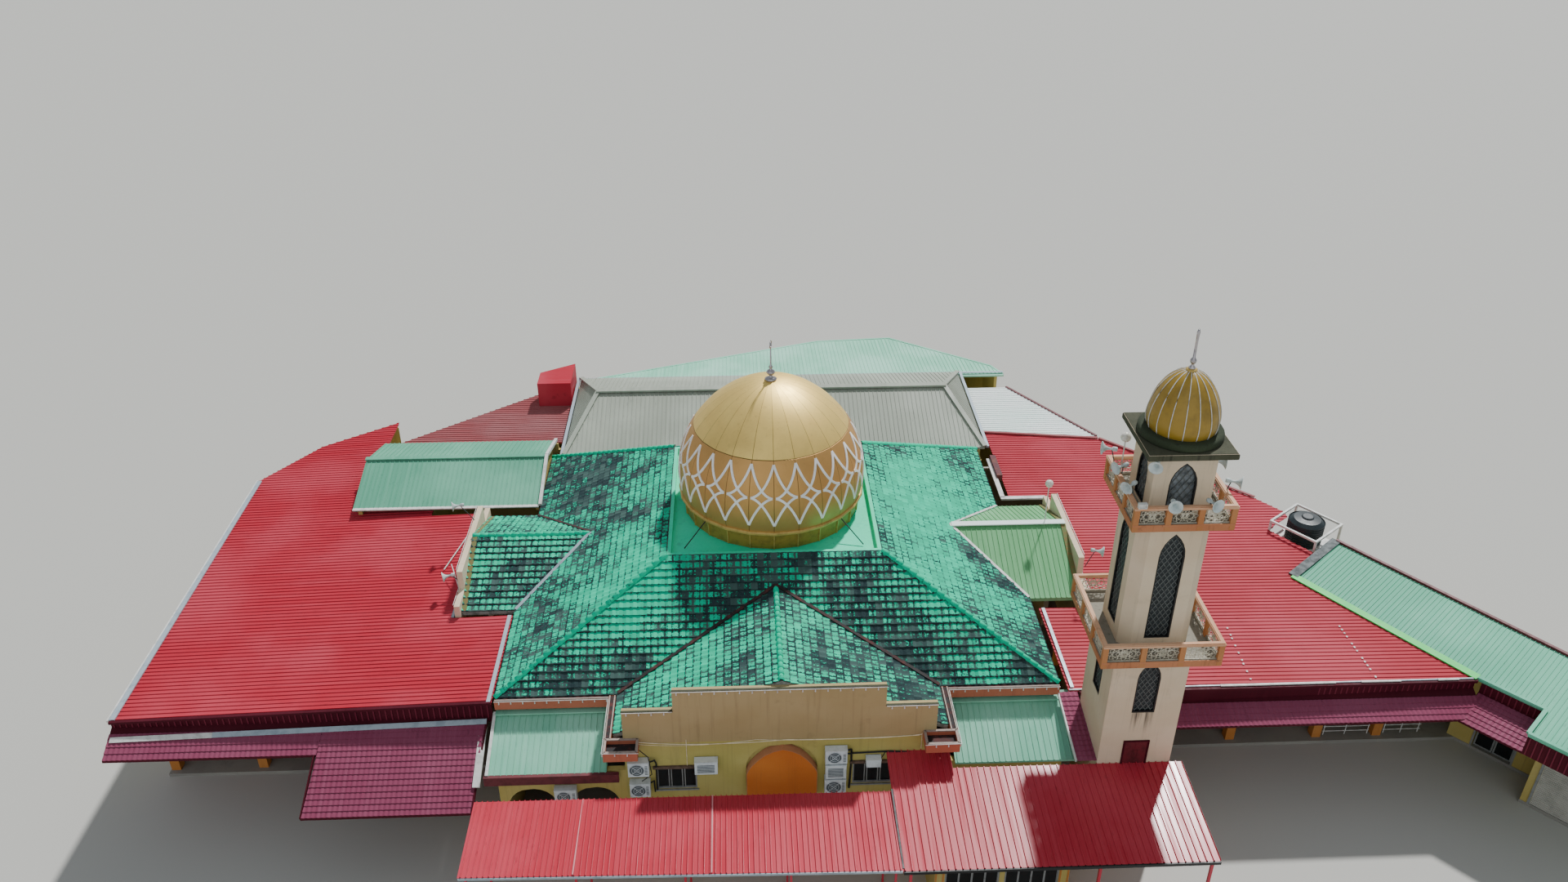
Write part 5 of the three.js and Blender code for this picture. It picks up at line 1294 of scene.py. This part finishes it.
addOnWall("coolerPipes", "portico", [
    hung(0.035, [(-5.18, 4.95, 0.2), (-4.98, 4.98, 0.14), (-4.93, 4.7, 0.06), (-4.95, 3.3, 0.05)], steps=2),
    hung(0.03, [(-5.18, 3.85, 0.2), (-5.05, 3.85, 0.1), (-5.04, 3.2, 0.05)], steps=2),
    hung(0.04, [(2.58, 5.28, 0.2), (2.74, 5.2, 0.08), (2.76, 4.6, 0.05), (2.7, 3.1, 0.05)], steps=2),
    hung(0.035, [(2.6, 5.1, 0.2), (2.85, 4.98, 0.06), (4.3, 5.02, 0.05), (5.6, 4.9, 0.05)], steps=3),
    hung(0.02, [(3.9, 4.7, 0.15), (4.05, 4.9, 0.05), (4.1, 5.0, 0.05)], steps=2),
    hung(0.02, [(-5.6, 5.55, 0.1), (-5.2, 5.3, 0.3), (-5.1, 4.4, 0.3), (-5.5, 4.1, 0.36)], 5, 0.0, 2),
], "black")
addOnWall("facadeCables", "portico", [
    hung(0.02, [(-6.7, 6.03, 0.03), (-3.7, 5.66, 0.02), (0.2, 5.76, 0.02), (5.4, 5.8, 0.02)], 4, 0.06),
    hung(0.015, [(-6.1, 5.8, 0.02), (-3.7, 5.6, 0.02), (-1.0, 5.8, 0.02), (3.0, 5.72, 0.02), (5.5, 5.84, 0.02)], 4,
         0.05),
    hung(0.014, [(-3.72, 5.9, 0.02), (-3.72, 4.55, 0.02)], 4), hung(0.012, [(5.5, 5.9, 0.02), (5.5, 5.1, 0.02)], 4),
], "cableTan")

lightRows = [
    # a wire that follows these places, with a small lamp hanging every half metre
    [(-6.15, -12.17, 7.37), (-4.2, -12.17, 7.37)], [(-4.2, -12.17, 8.34), (4.05, -12.17, 8.34)],
    [(4.05, -12.17, 7.37), (6.05, -12.17, 7.37)], [(-11.5, -9.82, 6.02), (-6.9, -9.82, 6.02)],
    [(6.9, -9.82, 6.02), (11.5, -9.82, 6.02)], [(-6.92, -9.85, 6.03), (-6.92, -12.9, 6.03), (-5.5, -12.93, 6.03)],
    [(6.92, -9.85, 6.03), (6.92, -12.9, 6.03), (5.5, -12.93, 6.03)],
    [(-14.18, -4.0, 6.5), (-14.18, -2.7, 6.5), (-14.18, -2.6, 7.45), (-14.18, 2.6, 7.45), (-14.18, 2.7, 6.5)],
    [(14.18, -4.0, 6.5), (14.18, -2.7, 6.5), (14.18, -2.6, 7.45), (14.18, 2.6, 7.45), (14.18, 2.7, 6.5)],
]


def addLights():
    # Places every half metre along each wire; a lamp is a short drop that widens downwards
    wires, lamps = [], []
    drop = [(0.014, 0.0), (0.02, -0.05), (0.032, -0.11), (0.02, -0.14)]
    for row in lightRows:
        row = np.asarray(row, float)
        wires += [beam(a, b, 0.02, 0.02, (0.1, 0.2, 1)) for a, b in zip(row[:-1], row[1:])]
        length = np.concatenate([[0], np.cumsum(np.linalg.norm(np.diff(row, axis=0), axis=1))])
        for s in np.arange(0.2, length[-1], 0.48):
            place = [np.interp(s, length, row[:, k]) for k in range(3)]
            lamps.append(turned([(r, -z) for r, z in drop], 6, place, (0, 0, -1)))
    addParts("lightWires", wires, "white")
    addParts("lightDrops", lamps, "white")


addLights()
print("portico is dressed")


# Gutters: pale rims round the boxes and runs, and a dark bed inside

gutter = {"left": 5.55, "right": 6.87, "front": -12.88, "back": -12.13, "top": 6.02}
rims, beds = [], []
for side in (-1, 1):
    q = gutter
    x0, x1 = sorted((side * q["left"], side * q["right"]))
    y0, y1 = q["front"], q["back"]
    loop = [(x0 + 0.04, y0 + 0.04), (x1 - 0.04, y0 + 0.04), (x1 - 0.04, y1), (x0 + 0.04, y1), (x0 + 0.04, y0 + 0.04)]
    rims.append(strip([(x, y, q["top"]) for x, y in loop], 0.10, 0.05))
    beds.append(block(x0 + 0.085, x1 - 0.085, y0 + 0.085, y1 - 0.05, 5.684, 5.82))
    rims += [beam((side * x, -12.1, 6.03), (side * x, -9.65, 6.03), 0.05, 0.07) for x in (6.65, 6.85)]
    beds.append(block(*sorted((side * 6.67, side * 6.83)), -12.1, -9.65, 6.004, 6.02))
    rims.append(beam((side * 6.9, -9.74, 6.03), (side * 11.48, -9.74, 6.03), 0.05, 0.05))
    beds.append(block(*sorted((side * 6.9, side * 11.48)), -9.71, -9.56, 6.004, 6.018))
addParts("gutterRims", rims, "coping")
addParts("gutterBeds", beds, "rustyBlack")


# Tower: rails and posts of the balconies, flower grilles, closed arches, cap, small dome, loudspeakers, lamps

balconies = [
    # half width, slab bottom, deck, rail top
    (2.18, 10.36, 10.56, 11.39), (1.75, 16.02, 16.22, 17.0),
]


def flower(u, v, w, radius, width):
    # Four crossed ellipses, (r cos s, 0.38 r sin s) turned by quarter steps of 45 degrees, make eight petals
    s = np.linspace(0, 2 * math.pi, 11)
    loop = np.stack([radius * np.cos(s), 0.38 * radius * np.sin(s)], axis=1)
    parts = []
    for step in range(4):
        c, k = math.cos(step * math.pi / 4), math.sin(step * math.pi / 4)
        parts.append(tube(np.column_stack([u + c * loop[:, 0] - k * loop[:, 1], v + k * loop[:, 0] + c * loop[:, 1],
                                           w + 0 * s]), width, 3))
    return parts


def addBalconies():
    posts, rails, edges, grilles = [], [], [], []
    wide = 0.1
    for number, (half, foot, deck, top) in enumerate(balconies):
        low, high = deck + 0.1, top - 0.12
        radius, count = (high - low) / 2, 3 - number
        for quarter in range(4):
            wall = "balcony%d%d" % (number, quarter)
            walls[wall] = (quarter * math.pi / 2, tower["place"], half)
            places = [-half + 0.06 + (2 * half - 0.12) * k / 3 for k in range(4)]
            # front and back run through to the corners, and the two sides fit between them
            through = quarter % 2 == 0

            def lengths(rows):
                # Boards along one side, each as (out, back, bottom, top)
                spans = [half + (out if through else -back) for out, back, bottom, upper in rows]
                return onWall(wall, *[plate(rectangle(-span, span, bottom, upper), -back, out)
                                      for span, (out, back, bottom, upper) in zip(spans, rows)])

            posts.append(onWall(wall, *boards(-0.13, 0.03, [(u - wide, u + wide, foot + 0.02, top - 0.1)
                                                            for u in (places if through else places[1:3])])))
            rails.append(lengths([(0.05, 0.14, top - 0.105, top - 0.02), (0.02, 0.11, top - 0.02, top + 0.012)]))
            edges.append(lengths([(0.02, 0.01, foot - 0.012, foot + 0.2), (0.035, 0.02, foot + 0.2, foot + 0.27)]))
            for a, b in zip(places[:-1], places[1:]):
                a, b, middle = a + wide, b - wide, (low + high) / 2
                spread = (b - a - 2 * radius) / max(count - 1, 1)
                grille = [p for k in range(count)
                          for p in flower(a + radius + k * spread, middle, -0.05, radius, 0.012)]
                grille += flower((a + b) / 2, middle, -0.05, radius * 0.55, 0.010)
                grille += [beam((a, v, -0.05), (b, v, -0.05), 0.02, 0.02) for v in (low, high)]
                grilles.append(onWall(wall, *grille))
    addParts("balconyPosts", posts, "postPaint")
    addParts("balconyRails", rails, "railPaint")
    addParts("balconyEdges", edges, "mouldyOrange")
    addParts("balconyGrilles", grilles, "grille")


addBalconies()

towerArches = [
    # stage, arch, spacing of its lattice, finish behind it
    ("base", (0.44, 7.48, 9.14, 9.92), 0.17, "darkMesh"), ("shaft", (0.47, 11.0, 14.6, 15.58), 0.17, "darkMesh"),
    ("kiosk", (0.49, 16.31, 17.43, 18.31), 0.2, "kioskGlass"),
]
frames, bars, backs = [], [], {"darkMesh": [], "kioskGlass": []}
for stage, values, spacing, behind in towerArches:
    outline = pointedArch(*values)
    inset = grown(outline, -0.05)
    for quarter in range(4):
        wall = stage + str(quarter)
        frames.append(onWall(wall, frameOf(outline, 0.055, -0.16, -0.02)))
        bars.append(onWall(wall, *diamondBars(inset, spacing, 1.5, 0.022, -0.11, -0.09)))
        backs[behind].append(onWall(wall, plate(inset, -0.15, -0.135)))
addParts("towerArchFrames", frames, "black")
addParts("towerArchLattice", bars, "latticeGrey")
for behind, parts in backs.items():
    addParts("towerArch_" + behind, parts, behind)
addOnWall("towerDoor", "base0", [*boards(-0.005, 0.02, [(-0.47, 0.42, 4.85, 6.02)]),
                                 *boards(0.018, 0.03, [(-0.04, -0.01, 4.87, 6.0)]),
                                 frameOf(rectangle(-0.12, 0.1, 5.15, 5.6), 0.03, 0.018, 0.034)], "darkRed")
addOnWall("towerDoorFrame", "base0", [frameOf(rectangle(-0.53, 0.48, 4.8, 6.08), 0.06, -0.005, 0.05)], "maroonBand")

capSlab = [(1.50, 18.662), (1.54, 18.70), (1.54, 18.87), (1.50, 18.915), (1.30, 18.925)]    # half width, height
capRing = [(1.44, 18.93), (1.46, 18.97), (1.445, 19.12), (1.40, 19.185), (1.33, 19.20)]
addParts("capSlabSkin", [onTower([(math.sqrt(2) * half, z) for half, z in capSlab], 4, math.pi / 4)], "mossy")
addParts("capRingSkin", [onTower(capRing, 36)], "darkMoss", smooth=True)


smallDome = {"radius": 1.22, "widest": 19.6, "top": 21.33, "point": 1.24}


def smallDomeLine(angle):
    # (r cos a, h sin^p a) above its widest line, a circle below it
    q = smallDome
    rise = (q["top"] - q["widest"]) * np.maximum(np.sin(angle), 0) ** q["point"]
    return q["radius"] * np.cos(angle), q["widest"] + np.where(angle < 0, q["radius"] * np.sin(angle), rise)


def addRibs():
    # A shell turned from that line and 16 bars that follow it
    radius, z = smallDomeLine(np.linspace(-0.42, math.radians(88), 30))
    shell = addParts("smallDomeShell", [onTower(np.stack([radius, z], axis=1), 48)], "mustard", slot="gold",
                     smooth=True)
    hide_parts("minaret_dome")
    radius, z = smallDomeLine(np.linspace(-0.36, math.radians(84), 16))
    parts = [tube((*tower["place"], 0) + polar(radius + 0.012, turn, z), 0.017, 5)
             for turn in np.arange(16) * math.pi / 8 + 0.1]
    addParts("smallDomeRibs", parts, "white", smooth=True)


addRibs()
crown = [(0.17, 21.24), (0.2, 21.29), (0.19, 21.35), (0.12, 21.38)]
spire = [(0.115, 21.36), (0.125, 21.41), (0.06, 21.48), (0.05, 21.54), (0.10, 21.59), (0.115, 21.66), (0.09, 21.72),
         (0.05, 21.76), (0.045, 22.3), (0.05, 22.55), (0.06, 22.68), (0.03, 22.79)]
addParts("smallDomeCrown", [onTower(crown, 20)], "ringGold", smooth=True)
addParts("smallDomeSpire", [onTower(spire, 14)], "steel", smooth=True)

hornShape = [(0.07, -0.30), (0.085, -0.27), (0.085, -0.14), (0.04, -0.12), (0.05, 0.0), (0.085, 0.10), (0.15, 0.18),
             (0.24, 0.235), (0.25, 0.25), (0.235, 0.25), (0.14, 0.20), (0.07, 0.11), (0.035, 0.0)]
horns = [
    # middle of the bell, where it points, where its bracket ends
    ((11.70, -10.25, 17.55), (-1, 0.15, 0.05), (12.05, -10.3, 17.0)),
    ((12.0, -11.0, 17.2), (-1, -0.4, -0.1), (12.1, -11.1, 16.9)),
    ((11.98, -12.3, 17.2), (-0.8, -0.6, -0.1), (12.15, -12.3, 16.95)),
    ((12.56, -12.92, 18.40), (-0.5, -1, -0.1), (12.75, -12.66, 18.2)),
    ((13.24, -13.42, 17.12), (-0.15, -1, 0.12), (13.3, -13.25, 16.95)),
    ((14.63, -13.42, 17.12), (0.35, -1, 0.1), (14.55, -13.2, 16.95)),
    ((15.32, -11.76, 17.8), (1, -0.3, 0), (14.78, -11.75, 17.6)),
    ((15.7, -12.45, 17.38), (1, -0.5, 0), (15.44, -12.3, 16.98)),
    ((14.62, -3.29, 8.1), (1, -0.2, -0.1), (14.05, -3.29, 7.3)),
    ((-14.9, 1.44, 8.2), (-1, -0.3, 0), (-14.1, 1.44, 7.4)),
    ((-14.75, -2.39, 6.9), (-1, -0.3, -0.1), (-14.15, -2.39, 6.6)),
]
hornParts, hornArms = [], []
for place, way, foot in horns:
    back = place - 0.2 * unit(np.asarray(way, float))
    hornParts.append(turned([(r, d - 0.1) for r, d in hornShape], 16, place, way))
    hornArms.append(tube([back, (back + foot) / 2 + (0, 0, 0.02), foot], 0.02, 5))
addParts("hornBells", hornParts, "horn", smooth=True)
addParts("hornArms", hornArms, "darkGrey")

globe = [(0.19 * math.sin(a), -0.19 * math.cos(a)) for a in np.linspace(0.35, math.pi - 0.15, 9)]
lampPosts = [((12.92, -0.05, 9.7), (12.92, -0.05, 7.5)), ((12.36, -10.25, 18.0), (12.36, -10.25, 16.25))]
addParts("globes", [turned(globe, 16, top) for top, foot in lampPosts], "opal", smooth=True)
addParts("globePosts", [tube([foot, np.subtract(top, (0, 0, 0.16))], 0.025) for top, foot in lampPosts], "white")
addOnWall("floodlight", "balcony10", [frameOf(rectangle(-1.72, -1.42, 17.03, 17.22), 0.03, 0.0, 0.14),
                                      *boards(0.02, 0.1, [(-1.70, -1.44, 17.05, 17.20)])], "white")
print("minaret is dressed")


# Front room under the right canopy, annex doors and shutter, water tank, small things on the wings

frontWindow = {"lefts": (6.1, 8.4), "width": 2.1, "sill": 1.1, "head": 2.5, "sash": 0.505}
frames, glazing = [], []
sill, head = frontWindow["sill"], frontWindow["head"]
for u0 in frontWindow["lefts"]:
    u1 = u0 + frontWindow["width"]
    frames.append(frameOf(rectangle(u0, u1, sill, head), 0.06, -0.14, -0.02))
    for a in u0 + 0.04 + np.arange(4) * frontWindow["sash"]:
        frames.append(frameOf(rectangle(a, a + frontWindow["sash"], sill + 0.04, head - 0.04), 0.035, -0.11, -0.05))
    glazing += boards(-0.09, -0.08, [(u0 + 0.04, u1 - 0.04, sill + 0.04, head - 0.04)])
addOnWall("frontRoomFrames", "frontRoom", frames, "windowFrame")
addOnWall("frontRoomPanes", "frontRoom", glazing, "glass")
addOnWall("frontRoomPiers", "frontRoom", [frameOf(rectangle(a, b, 0.2, 3.05), 0.06, 0.0, 0.03) for a, b in (
    (5.72, 6.06), (10.52, 10.88))] + boards(0.0, 0.03, [(5.72, 10.88, 0.2, 0.34)]), "orange")
addOnWall("alarmBox", "frontRoom", [frameOf(rectangle(5.8, 6.0, 2.3, 2.55), 0.03, 0.0, 0.12),
                                    *boards(0.0, 0.1, [(5.82, 5.98, 2.32, 2.53)])], "darkRed")

doorSpans = {"left_leaf": (1.925, 2.712), "right_leaf": (2.738, 3.525)}
for leaf, (u0, u1) in doorSpans.items():
    meeting = u1 - 0.09 if leaf == "left_leaf" else u0 + 0.09
    addOnWall(leaf + "Frame", "annexDoor", [frameOf(rectangle(u0, u1, 0.17, 2.28), 0.07, -0.208, -0.142),
                                            *boards(-0.206, -0.144, [(u0 + 0.05, u1 - 0.05, 1.1, 1.16)])],
              "windowFrame", body=leaf)
    handle = [(meeting, z, out) for z, out in ((1.2, -0.142), (1.22, -0.10), (1.48, -0.10), (1.5, -0.142))]
    addOnWall(leaf + "Handle", "annexDoor", [tube(handle, 0.014)], "steel", body=leaf)
addOnWall("annexDoorFrame", "annexDoor", boards(0.0, 0.03, [
    (1.82, 1.9, 0.16, 2.38), (3.55, 3.63, 0.16, 2.38), (1.82, 3.63, 2.3, 2.38)]), "windowFrame")
addOnWall("shutterSlats", "annexStore", boards(-0.055, -0.03, [
    (5.02, 8.68, z, z + 0.075) for z in np.arange(0.18, 3.1, 0.1)]), "shutter")
addOnWall("shutterGuides", "annexStore", boards(0.0, 0.05, [
    (4.9, 5.0, 0.16, 3.3), (8.7, 8.8, 0.16, 3.3), (4.9, 8.8, 3.2, 3.42)]), "windowFrame")

tank = {
    "place": (26.6, 1.68, 0), "radius": 0.838, "hoop": 0.868,
    "foot": [(0.80, 4.93)], "top": [(0.838, 6.1), (0.64, 6.28), (0.30, 6.34), (0.28, 6.39), (0.24, 6.41)],
}
hoops = [(tank[part], z + rise) for z in np.arange(5.0, 6.05, 0.13)
         for part, rise in (("radius", 0), ("radius", 0.06), ("hoop", 0.075), ("hoop", 0.115))]
addParts("tankSkin", [turned(tank["foot"] + hoops + tank["top"], 28, tank["place"])], "tank")
veranda = {"y": -6.9, "rails": ((24.95, 27.1), (27.75, 29.5)), "heights": (0.35, 0.62, 0.9),
           "posts": (25.0, 26.0, 27.05, 27.8, 28.6, 29.4)}
q = veranda
rails = [beam((a, q["y"], z), (b, q["y"], z), 0.03, 0.03) for a, b in q["rails"] for z in q["heights"]]
rails += [beam((x, q["y"], 0.15), (x, q["y"], 0.92), 0.035, 0.035, (0, 1, 0)) for x in q["posts"]]
addParts("verandaRails", rails, "white")
addParts("roofTubes", [tube([(-15.35, -0.49, 5.93), (-14.75, 2.26, 5.96)], 0.03),
                       tube([(-14.85, -0.89, 6.5), (-14.18, -2.6, 6.2)], 0.022)], "white")
sealant = [((25.03, -5.5), (25.07, -9.3), 12), ((19.99, -5.5), (19.7, -9.4), 9)]   # two lines of daubed screws
daubs, pitch, crest = [], ribs["pitch"], 0.87      # crest: where a rib's top lies, as a share of the pitch
for start, end, count in sealant:
    share = (np.arange(count) + 0.5 + 0.3 * rng.random(count)) / (count + 0.5)
    places = np.add(start, share[:, None] * np.subtract(end, start))
    places[:, 1] = pitch * (np.round(places[:, 1] / pitch - crest) + crest)
    for (x, y), half in zip(places, 0.03 + 0.02 * rng.random(count)):
        daubs.append(beam((x, y - half, rightRoof(x) - 0.009), (x, y + half, rightRoof(x) - 0.009), 0.07, 0.03))
addParts("sealantDaubs", daubs, "white")
print("front room, annex and tank are dressed")

# Pale studio floor

floorMesh = bpy.data.meshes.new("studioFloor")
floorMesh.from_pydata([(-300, -300, 0), (300, -300, 0), (300, 300, 0), (-300, 300, 0)], [], [(0, 1, 2, 3)])
floorMaterial, floorTree, floorShader = startFinish("studioFloor", 0.9)
fill(floorTree, floorShader, {"Base Color": light["floorColour"]})
floorMesh.materials.append(floorMaterial)
studioFloor = bpy.data.objects.new("studioFloor", floorMesh)
bpy.context.scene.collection.objects.link(studioFloor)
